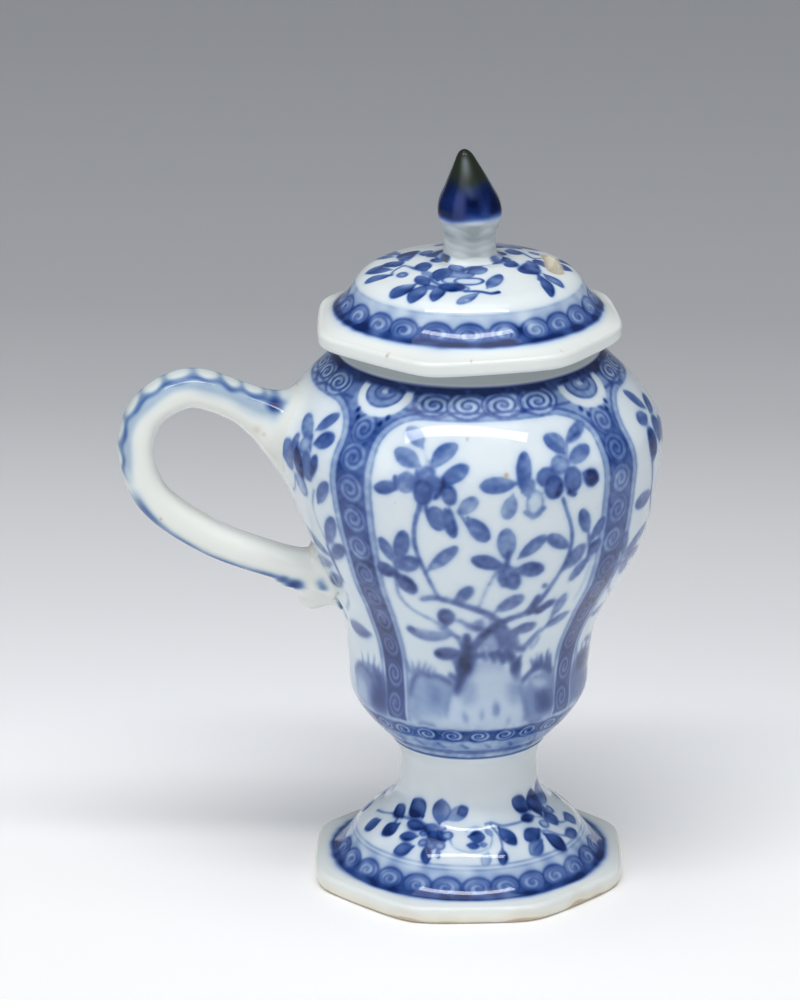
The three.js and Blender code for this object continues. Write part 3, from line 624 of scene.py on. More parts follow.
COVER_MOTIFS = [
    ("line", ([(-86, 15.4), (-80, 16), (-68, 16.4), (-50, 16.6), (-37, 14.4), (-28, 13.6)], .55, .55)),
    ("leaf", (-46.4, 12.6, -53, 7.4, 3.4, .82), (-39, 13, -39, 7.3, 3.1, .82),
     (-27, 14, -26.6, 8.4, 2.5, .84), (-36, 12.9, -55, 14.9, 2.4, .8), (-33, 14.6, -39.5, 19.6, 3.6, .8),
     (-55, 17.2, -81, 18.6, 2.9, .84), (-42, 16.2, -58, 16.6, 1.6, .42)),
    ("oval", (-34, 12.4, 1.3, .8, 0, .4, .6), (-29.5, 12.2, .8, .7, 0, .35, .55),
     (-14, 17.6, 2.3, 1.1, 0, .3, .5), (-21.8, 15.5, 2, 1.4, 0, .14, .66),
     (-6.5, 15.3, 2.8, 1.4, 0, .06, .76, .34), (-11, 12.8, 1.3, .9, 0, .2, .5),
     (-19.4, 13.1, 2.4, 1.4, 0, .88, .96)),
    ("leaf", (-9, 18.4, 20, 19.9, 2.8, .76), (-12, 18.8, -40, 21.2, 2.6, .74)),
    ("line", ([(-14, 19.6), (2, 20.8), (18, 21.6), (44, 21.9)], 1.1, .78, .3)),
    ("leaf", (5.6, 12.6, 27, 16.8, 2.4, .7)),
    ("line", ([(7, 13.4), (14, 15.8), (24, 16.2)], .4, .6),
     ([(-9.5, 11.9), (-3, 12), (3, 11.6), (7, 11), (12.5, 11.2)], (.5, .8), .84)),
    ("leaf", (0, 11.4, -13.4, 8.2, 2, .62)),
    ("oval", (-8, 9.2, .9, .7, 0, .2, .5)),
    ("line", ([(-30.5, 13.4), (-12, 12.2)], .4, .4)),
    ("leaf", (56.5, 12.6, 41.6, 7.3, 2.2, .82), (62.5, 12.9, 55.6, 7.9, 2.2, .66)),
    ("line", ([(60, 13.6), (52, 12.4), (49, 12)], .5, .6)),
    ("oval", (61, 15.2, 2.3, 1.9, 0, .8, .9), (55.5, 15.6, 1.6, 1.4, 0, .84, .94),
     (68, 15.6, 1.9, 1.5, 0, .6, .8)),
    ("leaf", (73, 19, 46.5, 18.6, 2.3, .76), (76, 15, 92, 14, 2.2, .8), (78, 13, 86, 8.4, 2, .74),
     (60, 20, 84, 20.8, 2, .74), (36, 20.9, 78, 21.7, 1.9, 1), (-58, 21.6, -88, 20.6, 1.7, .84),
     (-84, 13.2, -95, 8.8, 2.6, .84), (-88, 15, -104, 12, 2.4, .8), (-75, 12.4, -82, 7.6, 2.5, .84),
     (-96, 16.4, -116, 15, 2.4, .76)),
    ("line", ([(-86, 15.2), (-80, 13), (-74, 12.2)], .5, .6)),
    ("oval", (-68, 13.6, 1.3, 1, 0, .3, .7)),
    ("line", ([(44, 21.4), (70, 20.6), (90, 21.6)], .8, .7, .3)),
]
FOOT_MOTIFS = [
    ("line", ([(-88, 11.6), (-80, 12.4), (-70, 13.6), (-60, 14), (-48, 14.2), (-38, 14)], .4, .6),
     ([(-64, 13.6), (-61, 12)], .35, .55),
     ([(5, 14.8), (10, 15), (16, 14.2), (30, 14), (45, 14.2)], .4, .62)),
    ("leaf", (-59, 13.8, -73, 15.3, 2.7, .85), (-42, 15.2, -58.6, 17.6, 3.8, 1),
     (-57.4, 12.6, -63, 9, 3.1, .88), (-73.6, 11.2, -80, 7.9, 3, .86), (-36, 13.2, -53, 13.4, 2.2, .97),
     (-38.6, 11.2, -51, 10.2, 1.9, .9), (-38, 9.1, -49, 7, 2.5, .9), (-28.4, 14.4, -29.4, 19.2, 3.6, .6),
     (-24.6, 15.4, -6.6, 18, 2.6, .4), (-16, 16.9, -7.6, 17.8, 2, .92), (-25, 12.8, -39, 13.6, 2.3, .97),
     (-23.4, 11.2, -34, 12.4, 2.2, .95), (-29, 13.6, -21, 11, 1.6, .9)),
    ("oval", (-36.6, 12.1, .8, .65, 0, .2, .8, .25), (-34, 10.2, 1, .8, 20, .26, .8, .25),
     (-28.8, 9.8, 1, .8, 0, .3, .8, .25), (-23.6, 10.1, 1.1, .9, -20, .24, .74, .25),
     (-20.6, 12.4, 1.1, 1, 0, .2, .74, .25), (-25.6, 13.9, .9, .55, 0, .3, .76, .25)),
    ("line", ([(-19, 12.6), (-17.6, 11), (-15, 9.9), (-9, 9.2), (-1, 9.1), (4, 9.7)], .35, .4)),
    ("leaf", (-31.4, 9.8, -28.4, 6.2, 1.9, .88), (-24.6, 9.4, -22.6, 7.4, 1, .5),
     (-7.6, 12.4, 3.6, 12.2, 2.6, .9), (-8.6, 10.6, -.6, 10.2, 1.3, .82), (4.6, 10.6, -.6, 10.4, 1, .5)),
    ("line", ([(-9, 13.6), (-2, 14.4), (5, 13.6), (7.6, 11.6), (5, 9.8)], .3, .42)),
    ("leaf", (4, 9.2, .6, 6.2, 2, .36)),
    ("line", ([(9, 14.6), (12.4, 12.4), (12.6, 10.2), (11.4, 8.6)], .4, .6)),
    ("leaf", (12, 9.4, 10.4, 6.2, 1.8, .86), (13.8, 14, 21, 9.7, 2.7, .97), (9, 12, 4.6, 14, 1.2, .5),
     (46.6, 15.5, 31.6, 18.4, 3.1, .9), (53, 13.4, 56, 18.8, 3.9, 1), (60, 15, 82, 18.4, 4.4, .56),
     (46.6, 14.1, 33.6, 14.4, 1.6, .88), (42, 11.4, 27.6, 10.2, 2.9, .86),
     (38.6, 9.3, 26.4, 7.2, 2.8, .5)),
    ("line", ([(37, 9), (30, 7.8)], .3, .7)),
    ("leaf", (41.8, 10.3, 50, 5.6, 2.9, 1), (54.6, 8, 68, 7, 2.1, .8),
     (50.6, 12.4, 63.4, 11.6, 3.1, .72)),
    ("oval", (48.2, 11.9, 1.1, 1, 0, .2, .72, .25), (66, 13.3, 1.1, .9, 0, .2, .66, .25)),
    ("leaf", (67.6, 10, 79, 8.6, 2.8, .68), (63, 14.6, 57, 13.6, 1.2, .6)),
    ("line", ([(45, 14), (52, 13.2), (61, 10.4), (68, 9.6)], .35, .55),
     ([(41, 10.8), (46, 10.4), (52, 8.6), (57, 7.7)], .35, .55)),
]
COVER_WAVES = (-84, -67.8, -51.7, -37.9, -21.8, -6.5, 9.6, 24.9, 39, 53, 68.2, 82)
FOOT_WAVES = (-87, -73.3, -59, -44.8, -30.6, -17, -3, 9.6, 23, 35.6, 49, 62.4, 75.8)
WAVE_HEIGHT = 2.3


def wave_band(chart, places, rx, ry):
    """Rolling waves: arches of dark and pale rings that touch, standing in a dark edge."""
    s = chart.run[:, None]
    drift = np.radians(chart.angle)
    chart.deepen(.2 * between(s, -.2, .5, WAVE_HEIGHT + ry + 1.5, .7))
    chart.deepen(.66 * between(s, -.3, .5, WAVE_HEIGHT + 1.3, .5))
    for k, a in enumerate(places + tuple(v + 180 for v in places)):
        oval(chart, 0, a, WAVE_HEIGHT, rx, ry, 0, .2, .84, .34, 1)
        scroll(chart, 0, a + .3 * math.sin(2.3 * k), WAVE_HEIGHT - .15, rx - .75, ry - .6,
               hand=1 if a < 8 else -1, dark=.68, pale=.2, turn=.13 * k, pitch=.6, core=.66, brush=.17)
    chart.deepen((.92 + .06 * np.sin(drift * 17)) * smooth((1.7 + .25 * np.sin(drift * 11) - s) / 1.1))


def paint_cover(chart):
    wave_band(chart, COVER_WAVES, 2.95, 2.2)
    chart.deepen(.3 * bell(chart.run[:, None] - 5.8, .35))
    for turn in (0, 180):
        paint(chart, COVER_MOTIFS, turn)


def paint_foot(chart):
    s = chart.run[:, None]
    wave_band(chart, FOOT_WAVES, 2.85, 2.1)
    chart.deepen(.05 * between(s, 4, 2, 20, 2.5))
    for at in (5.6, 6.4):
        chart.deepen(.46 * bell(s - at, .2))
    for turn in (0, 180):
        paint(chart, FOOT_MOTIFS, turn)


# Meshes

def turned_mesh(name, points, **values):
    """A mesh from a grid of points in mm, closed round the axis, with values at its points."""
    rows, cols = points.shape[:2]
    row, col = np.mgrid[:rows - 1, :cols]
    here, beside = row * cols + col, row * cols + (col + 1) % cols
    quads = np.stack([here, beside, beside + cols, here + cols], -1)
    count = here.size
    mesh = bpy.data.meshes.new(name)
    mesh.vertices.add(rows * cols)
    mesh.vertices.foreach_set("co", (points * .001).astype(np.float32).ravel())
    mesh.loops.add(4 * count)
    mesh.loops.foreach_set("vertex_index", quads.astype(np.int32).ravel())
    mesh.polygons.add(count)
    mesh.polygons.foreach_set("loop_start", np.arange(0, 4 * count, 4, dtype=np.int32))
    mesh.polygons.foreach_set("use_smooth", np.ones(count, bool))
    mesh.update(calc_edges=True)
    u = np.stack([col, col + 1, col + 1, col], -1) / cols
    v = np.stack([row, row, row + 1, row + 1], -1) / (rows - 1)
    layer = mesh.uv_layers.new(name="OFBake")
    layer.data.foreach_set("uv", (np.stack([u, v], -1) * .996 + .002).astype(np.float32).ravel())
    for key, data in values.items():
        attribute = mesh.attributes.new(key, "FLOAT", "POINT")
        attribute.data.foreach_set("value", np.ascontiguousarray(data, np.float32).ravel())
    return mesh


def add_piece(mesh, body, nodes, slot, *materials):
    piece = bpy.data.objects.new(mesh.name, mesh)
    bpy.context.scene.collection.objects.link(piece)
    for material in materials:
        mesh.materials.append(material)
    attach(piece, body)
    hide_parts(*nodes)
    return piece


def round_angles(fine, coarse, start=-115, end=100):
    """Angles all the way round, closer together on the side that faces the camera."""
    return np.concatenate([np.arange(start, end, fine), np.arange(end, start + 360, coarse)])


def grid(line, angles):
    """Height, angle and radius at each point of a line turned round the axis."""
    z, a = np.meshgrid(line[:, 1], angles, indexing="ij")
    return z, a, np.repeat(line[:, :1], len(angles), 1)


def place(radius, angle, height, shift=0):
    a = np.radians(angle)
    return np.stack([AXIS_X + shift + radius * np.sin(a), -radius * np.cos(a), height], -1)


# Iron spots: (angle, height, size, depth), where the body's heights are lengths up its outline
BODY_SPOTS = ((-7.4, 72.5, .28, .6), (4.1, 65.8, .42, 1), (-28.6, 60.2, .2, .3), (34, 57, .2, .35))
COVER_SPOTS = ((-38.6, 105.6, .3, .8), (-6, 105.8, .16, .8), (-52, 109.6, .28, .35), (30, 106, .16, .5))
# Spots and brush ends on the handle: (x from the axis, height, size, depth)
HANDLE_SPOTS = ((-38.4, 87.4, .8, .35), (-55.7, 71.1, .22, .9), (-37.2, 86.6, .4, .4))
BRUSH_ENDS = ((-35.1, 91.6, 1.5, 1), (-31.9, 57.3, 1.6, .9), (-34.0, 58.4, 1.2, .78), (-27.3, 57.9, .8, .6),
              (-26.8, 56.9, .9, .62))


def spots(r, angle, z, rows):
    stain = np.zeros(r.shape)
    for at, height, size, deep in rows:
        stain = np.maximum(stain, deep * bell(np.hypot(np.radians(angle - at) * r, z - height), size))
    return stain


def wall_painting(chart, points):
    """The body's painting, bled into the glaze and most washed out on the lower bowl, with uneven washes."""
    paint_body(chart)
    s = chart.run[:, None]
    blur = (.5 + .5 * smooth((56 - s) / 18) + .7 * between(s, 9, 4, 20.5, 3)) * smooth((79 - s) / 6)
    strips = smooth((7.4 - np.abs(turned(chart.angle, np.array(PILASTERS)[:, None])).min(0)) / 1.4)
    blur = blur * (1 - .75 * np.maximum(strips, smooth((LOW_TOP - s) / .8)))
    haze = 1 - .7 * smooth((24 - s) / 3)
    grain = .07 * waves(points, 5.0, 11) + .04 * waves(points, 1.8, 12)
    grain = grain * (1 - .8 * between(s, 11, 1, 33, 5))
    return bled(chart.ink, blur, .42 * haze, .2 * haze) * (1 + grain)


def make_body():
    """The body's mesh, and its wall's painting as (angles, heights, blue)."""
    base = np.array([(.05, SEAM_FOOT), (SEAT_R - .3, SEAM_FOOT)])
    outer = body_outline()
    neck = even(spline([(NECK_R, LIP - 3.34), (NECK_R, LIP - 1), (NECK_R - .05, LIP - .6),
                        (NECK_R - .25, LIP - .2), (NECK_R - .6, LIP)], 8), .3)[1:]
    inner = spline([(NECK_R - 2.3, LIP), (20.75, LIP - .5), (20.7, LIP - 5.6), (25.2, 94.8), (29.9, 89),
                    (31.9, SEAM_BODY), (31.2, 74), (27.8, 63.5), (22.4, 52), (19.1, 44), (18.6, 40),
                    (16, 35.4), (11, 33), (.05, 32.5)], 12)
    first = len(base)
    wall = slice(first, first + len(outer))
    outside = slice(first, wall.stop + len(neck))
    angles = round_angles(.36, .75)
    z, a, r = grid(np.vstack([base, outer, neck, even(inner, 1.6)]), angles)
    r[first:] -= drawn_in(z, a)[first:]
    ridge = .035 * bell(z - SEAM_BODY - .25 * np.sin(np.radians(a) * 3), .4)
    r[outside] += (.024 * relief(r, a, z, 14, 3) - .08 + ridge)[outside]
    thrown = place(r, a, z)
    run = lengths(outer)
    chart = Chart(angles, run, outer[:, 0], fat=1.12, deep=.96, pointed=.25)
    ink = np.zeros(r.shape)
    ink[wall] = wall_painting(chart, thrown[wall])
    points = thrown.copy()
    points[wall] = meet_handle(thrown[wall], a[wall], z[wall])
    pool = .2 * smooth(np.linalg.norm(points - thrown, axis=-1) / 1.2) * unpainted(ink, 2)
    on_neck = (z > LIP - 3.345) * (r > 22)
    ink = np.maximum(ink, on_neck * smooth((LIP - 2.45 - z) / .9))
    # The neck under the lid takes the full pool tint: the neck's greyer glaze, darkened further as painted
    # shadow of the lid's overhang.
    pool = np.maximum(pool, on_neck * (1 - ink))
    stain = spots(r, a, z, [(at, np.interp(up, run, outer[:, 1]), *spot) for at, up, *spot in BODY_SPOTS])
    stain[:first] = .2
    by_handle = (np.abs(turned(a, HANDLE_SIDE)) < 50) & (z > 40) & (r > 12)
    cream = np.zeros(r.shape)
    cream[by_handle] = .6 * smooth((8 - strap_distance((points - AXIS)[by_handle])) / 8)
    mesh = turned_mesh("pot_body", points, ink=np.clip(ink, 0, 1.15), stain=stain, pool=pool,
                       cream=cream * unpainted(ink, 4))
    return mesh, (angles, outer[:, 1], ink[wall])


# The handle, and how it runs into the wall

OUTLINE = even(body_outline(), .5)
HANDLE_HIGH, HANDLE_LOW, HANDLE_REACH, HANDLE_ARCH = 86.0, 60.0, 59.7, 8.15
FILLET, LOW_FILLET = 5.2, 2.6


def outline_radius(z):
    return np.interp(z, OUTLINE[:, 1], OUTLINE[:, 0])


def wall_radius(z, angle):
    return outline_radius(z) - drawn_in(z, angle)


def wall_slope(z):
    return (outline_radius(z + .3) - outline_radius(z - .3)) / .6


def handle_line():
    high = float(wall_radius(HANDLE_HIGH, HANDLE_SIDE))
    low = float(wall_radius(HANDLE_LOW, HANDLE_SIDE))

    def above(out, up):
        return (-mix(high, HANDLE_REACH, out), HANDLE_HIGH + HANDLE_ARCH * up)

    def below(out, up):
        return (-mix(low, HANDLE_REACH, out), mix(HANDLE_LOW, HANDLE_HIGH, up))

    points = [(-high + 3.84, HANDLE_HIGH - 1.68), above(0, .13), above(.28, .66), above(.62, 1),
              above(.9, .56), below(1, .94), below(.93, .57), below(.635, .25), below(.27, .045),
              (-low + 2.4, HANDLE_LOW - 2.4)]
    return even(spline(points, 40), .25)


def strap_frame(path):
    """Direction, half thickness and half width at each point of the strap. It is fatter at both ends."""
    run = lengths(path) / lengths(path)[-1]
    along = np.gradient(path, axis=0)
    along /= np.linalg.norm(along, axis=1)[:, None]
    fat = np.maximum(smooth(1 - run / .17), .3 * smooth(1 - (1 - run) / .13))
    return along, mix(6.85 * mix(1, .83, run), 11.2, fat) / 2, mix(8.2, 11.0, fat) / 2


STRAP = handle_line()
ALONG, THICK, WIDE = strap_frame(STRAP)
STRAP_POWER, SPUR_POWER = 8 / 3, 2.6
SECTION_SIDES = 96
OVAL_PITCH = 3.9
# The spur in level slices: (height, left edge, right edge, half its width)
SPUR = np.array([(51.5, -28.9, -28.1, .5), (51.7, -29.35, -27.5, 1.2), (52.0, -29.85, -26.8, 1.7),
                 (52.4, -30.25, -25.7, 2.1), (52.8, -30.5, -24.0, 2.4), (53.4, -30.7, -21, 2.65),
                 (54.4, -30.95, -18, 2.95), (55.2, -31.4, -18, 3.2), (55.8, -32.1, -18, 3.4),
                 (56.3, -33.1, -18, 3.6), (56.8, -34.5, -18, 3.75), (58, -35.8, -18, 3.9),
                 (60.5, -36.4, -18, 4.0)])


def section_distance(x, y, half_x, half_y, power, reach):
    """How far a place lies outside a rounded section, where reach is its distance from the middle."""
    q = (np.abs(x / half_x) ** power + np.abs(y / half_y) ** power) ** (1 / power)
    return reach * (1 - 1 / np.maximum(q, 1e-3))


def spur_distance(points):
    x, y, z = np.moveaxis(points, -1, 0)
    left, right, wide = (np.interp(z, SPUR[:, 0], SPUR[:, k]) for k in (1, 2, 3))
    x = x - (left + right) / 2
    side = section_distance(x, y, (right - left) / 2, wide, SPUR_POWER, np.hypot(x, y))
    return np.maximum(side, np.maximum(SPUR[0, 0] - z, z - SPUR[-1, 0]))


def nearest(x, z, path):
    best, index = np.full(x.shape, 1e9), np.zeros(x.shape, int)
    for k, (at_x, at_z) in enumerate(path):
        d = (x - at_x) ** 2 + (z - at_z) ** 2
        index[d < best] = k
        best = np.minimum(best, d)
    return index


def strap_distance(points):
    """How far points (x from the axis, y, z) lie outside the strap and its spur."""
    x, y, z = np.moveaxis(points, -1, 0)
    k = nearest(x, z, STRAP)
    dx, dz = x - STRAP[k, 0], z - STRAP[k, 1]
    out = dx * ALONG[k, 1] - dz * ALONG[k, 0]
    beyond = dx * ALONG[k, 0] + dz * ALONG[k, 1]
    strap = section_distance(y, out, WIDE[k], THICK[k], STRAP_POWER, np.sqrt(y ** 2 + out ** 2 + beyond ** 2))
    return np.minimum(strap, spur_distance(points)) + .45 * smooth((70 - z) / 6)


def wall_distance(points):
    x, y, z = np.moveaxis(points, -1, 0)
    wall = wall_radius(z, np.degrees(np.arctan2(x, -y)))
    return (np.hypot(x, y) - wall) / np.sqrt(1 + wall_slope(z) ** 2)


def joined(a, b, size):
    """A smooth union of two distances."""
    near = np.clip(size - np.abs(a - b), 0, None) / size
    return np.minimum(a, b) - near * near * size / 4


def settle(points, normals, distance, most):
    """How far points move out along their normals to lie on the smooth union with the other shape."""
    low, high = np.zeros(len(points)), np.full(len(points), most)
    for _ in range(14):
        move = (low + high) / 2
        moved = points + normals * move[:, None]
        fillet = mix(LOW_FILLET, FILLET, smooth((moved[:, 2] - 66) / 8))
        inside = joined(move, distance(moved), fillet) < 0
        low, high = np.where(inside, move, low), np.where(inside, high, move)
    return (low + high) / 2


def meet_handle(points, angle, z):
    """Raises the wall round the handle's ends into a fillet."""
    chosen = (np.abs(turned(angle, HANDLE_SIDE)) < 34) & (z > 44) & (z < 98)
    p = (points - AXIS)[chosen]
    flat = np.hypot(p[:, 0], p[:, 1])
    normal = np.stack([p[:, 0] / flat, p[:, 1] / flat, -wall_slope(p[:, 2])], 1)
    normal /= np.linalg.norm(normal, axis=1)[:, None]
    close = strap_distance(p) < FILLET
    move = np.zeros(len(p))
    move[close] = settle(p[close], normal[close], strap_distance, 3.2)
    hidden = strap_distance(p + normal * move[:, None]) < move
    move = np.where(close, np.maximum(move - .06 * hidden, 0), 0)
    met = points.copy()
    met[chosen] += normal * move[:, None]
    return met


def squared(x, power):
    return np.sign(x) * np.abs(x) ** power


def section(power):
    """Angles round a rounded section, and its points across and out, as shares of its half sizes."""
    a = np.linspace(0, 2 * math.pi, SECTION_SIDES, endpoint=False)
    return a, squared(np.cos(a), 2 / power), squared(np.sin(a), 2 / power)


def handle_ink(run_mm, out_angle, total):
    """Blue on the handle's back: reserved ovals with a wavy edge, then a plain line."""
    away = np.abs(out_angle)
    phase = run_mm / OVAL_PITCH
    edge = 44 + 6 * np.cos(2 * math.pi * phase) + 3 * np.sin(run_mm * .9)
    ink = .55 * smooth((edge - away) / 8 + .5)
    reserve = np.hypot((phase - np.round(phase)) * OVAL_PITCH / 1.6, away / (33 + 4 * np.sin(run_mm)))
    ink = np.where(reserve < 1.25, mix(.08, ink, smooth((reserve - .85) / .35)), ink)
    ink = np.maximum(ink, bell(away - edge, 5) * (.92 + .16 * np.sin(run_mm * 1.3)))
    haze = 96 - 9 * smooth((run_mm - 16) / 8) + 3 * np.sin(run_mm * .7)
    ink = np.maximum(ink, .34 * smooth((haze - away) / 18) * (away > edge))
    ink = ink * between(run_mm, 5.5, 1.5, .53 * total, 6)
    width = 78 - 14 * smooth((run_mm / total - .52) / .14) + 14 * smooth((run_mm / total - .72) / .25)
    lower = between(run_mm, .5 * total, 5, total - 6.6, 1.4) * smooth((width - away) / 26 + .3)
    return np.maximum(ink, .6 * lower * (1 + .12 * np.sin(run_mm * .8)))


def brush_ends(points):
    """Blue drops where the brush stopped at both ends of the handle."""
    ink = 0
    for x, z, size, deep in BRUSH_ENDS:
        away = np.hypot((points[..., 0] - x) / 1.3, points[..., 2] - z)
        ink = np.maximum(ink, deep * smooth(1.25 - away / size) * (points[..., 1] < 3))
    return ink


def wall_ink(points, painting):
    """The wall's painting carried on over the roots of the handle."""
    angles, heights, ink = painting
    turn = np.degrees(np.arctan2(points[..., 0], -points[..., 1]))
    col = np.clip(np.searchsorted(angles, turn), 0, len(angles) - 1)
    row = np.clip(np.searchsorted(heights, points[..., 2]), 0, len(heights) - 1)
    return ink[row, col] * smooth((.6 - wall_distance(points)) / .4)


def make_handle(painting):
    around, across, out = section(STRAP_POWER)
    across = -across
    thick, wide, along_x, along_z = THICK[:, None], WIDE[:, None], ALONG[:, :1], ALONG[:, 1:]
    x, z = STRAP[:, :1] + along_z * out * thick, STRAP[:, 1:] - along_x * out * thick
    points = np.stack([x, across * wide, z], -1)
    out, across = squared(out, STRAP_POWER - 1) / thick, squared(across, STRAP_POWER - 1) / wide
    normals = np.stack([along_z * out, across, -along_x * out], -1)
    normals /= np.linalg.norm(normals, axis=-1)[..., None]
    distance = wall_distance(points)
    by_wall = (distance < FILLET + 1) & (distance > -1.5)
    move = np.zeros(by_wall.shape)
    move[by_wall] = settle(points[by_wall], normals[by_wall], wall_distance, 2.6)
    points = points + normals * move[..., None]
    run = lengths(STRAP)
    ink = handle_ink(run[:, None], turned(np.degrees(around), 90), run[-1])
    ink = np.maximum(soften(np.maximum(ink, brush_ends(points)), 4), wall_ink(points, painting))
    stain = 0
    for x, z, size, deep in HANDLE_SPOTS:
        away = np.hypot(points[..., 0] - x, points[..., 2] - z)
        stain = np.maximum(stain, deep * bell(away, size) * (points[..., 1] < 0))
    return turned_mesh("pot_handle", points + AXIS, ink=np.clip(ink, 0, 1.1), stain=stain,
                       pool=.2 * smooth(move / 1.2))


def make_spur(painting):
    rows = even(spline(SPUR, 8), .2)
    height, left, right, wide = (rows[:, k:k + 1] for k in range(4))
    _, across, out = section(SPUR_POWER)
    points = np.stack([(left + right) / 2 + (right - left) / 2 * across, wide * out, height + 0 * out], -1)
    tip = points[:1].mean(1, keepdims=True)
    points = np.vstack([mix(tip, points[:1], .02), points])
    normals = np.cross(np.roll(points, -1, 1) - np.roll(points, 1, 1), np.gradient(points, axis=0))
    normals /= np.linalg.norm(normals, axis=-1)[..., None] + 1e-9
    move = settle(points.reshape(-1, 3), normals.reshape(-1, 3), wall_distance, 1.4).reshape(points.shape[:2])
    move = move * smooth((points[..., 2] - 51.7) / 1.5)
    points = points + normals * move[..., None]
    ink = np.maximum(soften(brush_ends(points), 3), wall_ink(points, painting))
    return turned_mesh("handle_spur", points + AXIS, ink=ink, stain=0 * ink, pool=.2 * smooth(move / 1.2))


# The octagonal foot and cover

def rim_line(base, apothem, height, round_off=.85):
    """Section of an octagonal rim from its underside to its upper edge."""
    t = np.linspace(0, math.pi / 2, 7)
    out, up = round_off * np.sin(t), round_off * np.cos(t)
    inner = apothem - round_off
    low = np.stack([inner + out, base + round_off - up], 1)
    high = np.stack([inner + up, base + height - round_off + out], 1)
    return np.vstack([low] + [mix(low[-1:], high[:1], share) for share in (.2, .4, .6, .8)] + [high])


def octagonal(parts, facets, inner_cut, fall, size, seeds, fade_out, bleed, paint_on, looks):
    """Turned rows with an octagonal rim, painted above it. Gives height, angle, radius, points and blue.

    Fall is how the cuts fade on the slope above the rim, and bleed how fast the blue fades there.
    """
    low, rim, slope, outer, _ = parts
    start = len(low) + len(rim)
    first = start + len(slope)
    rows = np.vstack(parts)
    cut = np.zeros((len(rows), 1))
    cut[len(low) - 1] = inner_cut
    cut[len(low):start, 0] = np.linspace(.8, 1, len(rim))
    cut[start:first, 0] = fall
    angles = round_angles(.42, .8)
    z, a, r = grid(rows, angles)
    r *= 1 + (facet_share(angles, facets) - 1) * cut
    steady = np.ones(len(rows) - start - 10 - fade_out)
    fade = np.concatenate([np.linspace(0, 1, 10), steady, np.linspace(1, 0, fade_out)])
    r[start:] += (.035 * relief(r, a, z, size, seeds[0])[start:] - .1) * fade[:, None]
    chart = Chart(angles, lengths(outer), outer[:, 0], **looks)
    paint_on(chart)
    ink = np.zeros(r.shape)
    ink[first:first + len(outer)] = bled(chart.ink, .3)
    ink[start:first] = ink[first] * np.linspace(0, 1, len(slope) + 1)[:-1, None] ** bleed
    points = place(r, a, z)
    return z, a, r, points, ink * (1 + .1 * waves(points, 4.0, seeds[1]))


def make_foot():
    rim = rim_line(0, FOOT_RIM_R, FOOT_RIM_HEIGHT)
    outer = even(foot_line(), .2)
    hollow = [(.05, 22.7), (8, 22.7), (9.35, 20.7), (9.35, 14.1), (15, 9), (20.5, 4.5), (23.8, 0)]
    low = np.vstack([even(spline(hollow, 12), .7), [(24.6, 0), (26.4, 0)]])
    slope = [(FOOT_RIM_R - 1.3, FOOT_RIM_HEIGHT + .06), (26.3, FOOT_RIM_HEIGHT + .14)]
    slope = even(np.vstack([rim[-1:], slope, outer[:1]]), .3)[1:-1]
    close = [(SEAT_R - .3, SEAM_FOOT), (.05, SEAM_FOOT)]
    fall = np.linspace(1, 0, len(slope) + 1)[1:] ** 1.3
    z, _, r, points, ink = octagonal((low, rim, slope, outer, close), FOOT_FACETS, inner_cut=.8, fall=fall,
                                     size=12, seeds=(5, 21), fade_out=12, bleed=2.6, paint_on=paint_foot,
                                     looks={"fat": 1.06, "deep": 1.15, "pointed": .7})
    ink = np.maximum(ink, .6 * bell(z - SEAM_FOOT + .1, .22) * (r > 12))
    ragged = waves(points * [1, 1, 0], 7.0, 8)
    edge = .6 * smooth((.8 + .3 * ragged - z) / .5) + .18 * smooth((2.6 + .6 * ragged - z) / 1.7)
    stain = edge * (r > 24)
    unglazed = len(low) + 1
    stain[:unglazed] = np.maximum(stain[:unglazed], .4)
    glow = (.35 * smooth((4.2 - z) / 1.2) + .65 * smooth((2.6 - z) / 1.5)) * (r > 25.4)
    mesh = turned_mesh("pot_foot", points, ink=np.clip(ink, 0, 1.15), stain=stain,
                       cream=glow * unpainted(ink, 4))
    index = np.zeros((r.shape[0] - 1, r.shape[1]), np.int32)
    index[:unglazed] = 1
    mesh.polygons.foreach_set("material_index", index.ravel())
    return mesh


SLOT_LENGTH, SLOT_WIDTH, SLOT_R, SLOT_TILT = 10.5, 2.3, 14.6, math.radians(20)
SLOT_STRAIGHT = (SLOT_LENGTH - SLOT_WIDTH) / 2


def slot_distance(points):
    """How far points lie outside the slot, seen down its own axis."""
    x, y, z = np.moveaxis(points - AXIS - [SLOT_R, 0, CROWN - COVER_WALL], -1, 0)
    across = x * math.cos(SLOT_TILT) - z * math.sin(SLOT_TILT)
    return np.hypot(across, np.clip(np.abs(y) - SLOT_STRAIGHT, 0, None)) - SLOT_WIDTH / 2


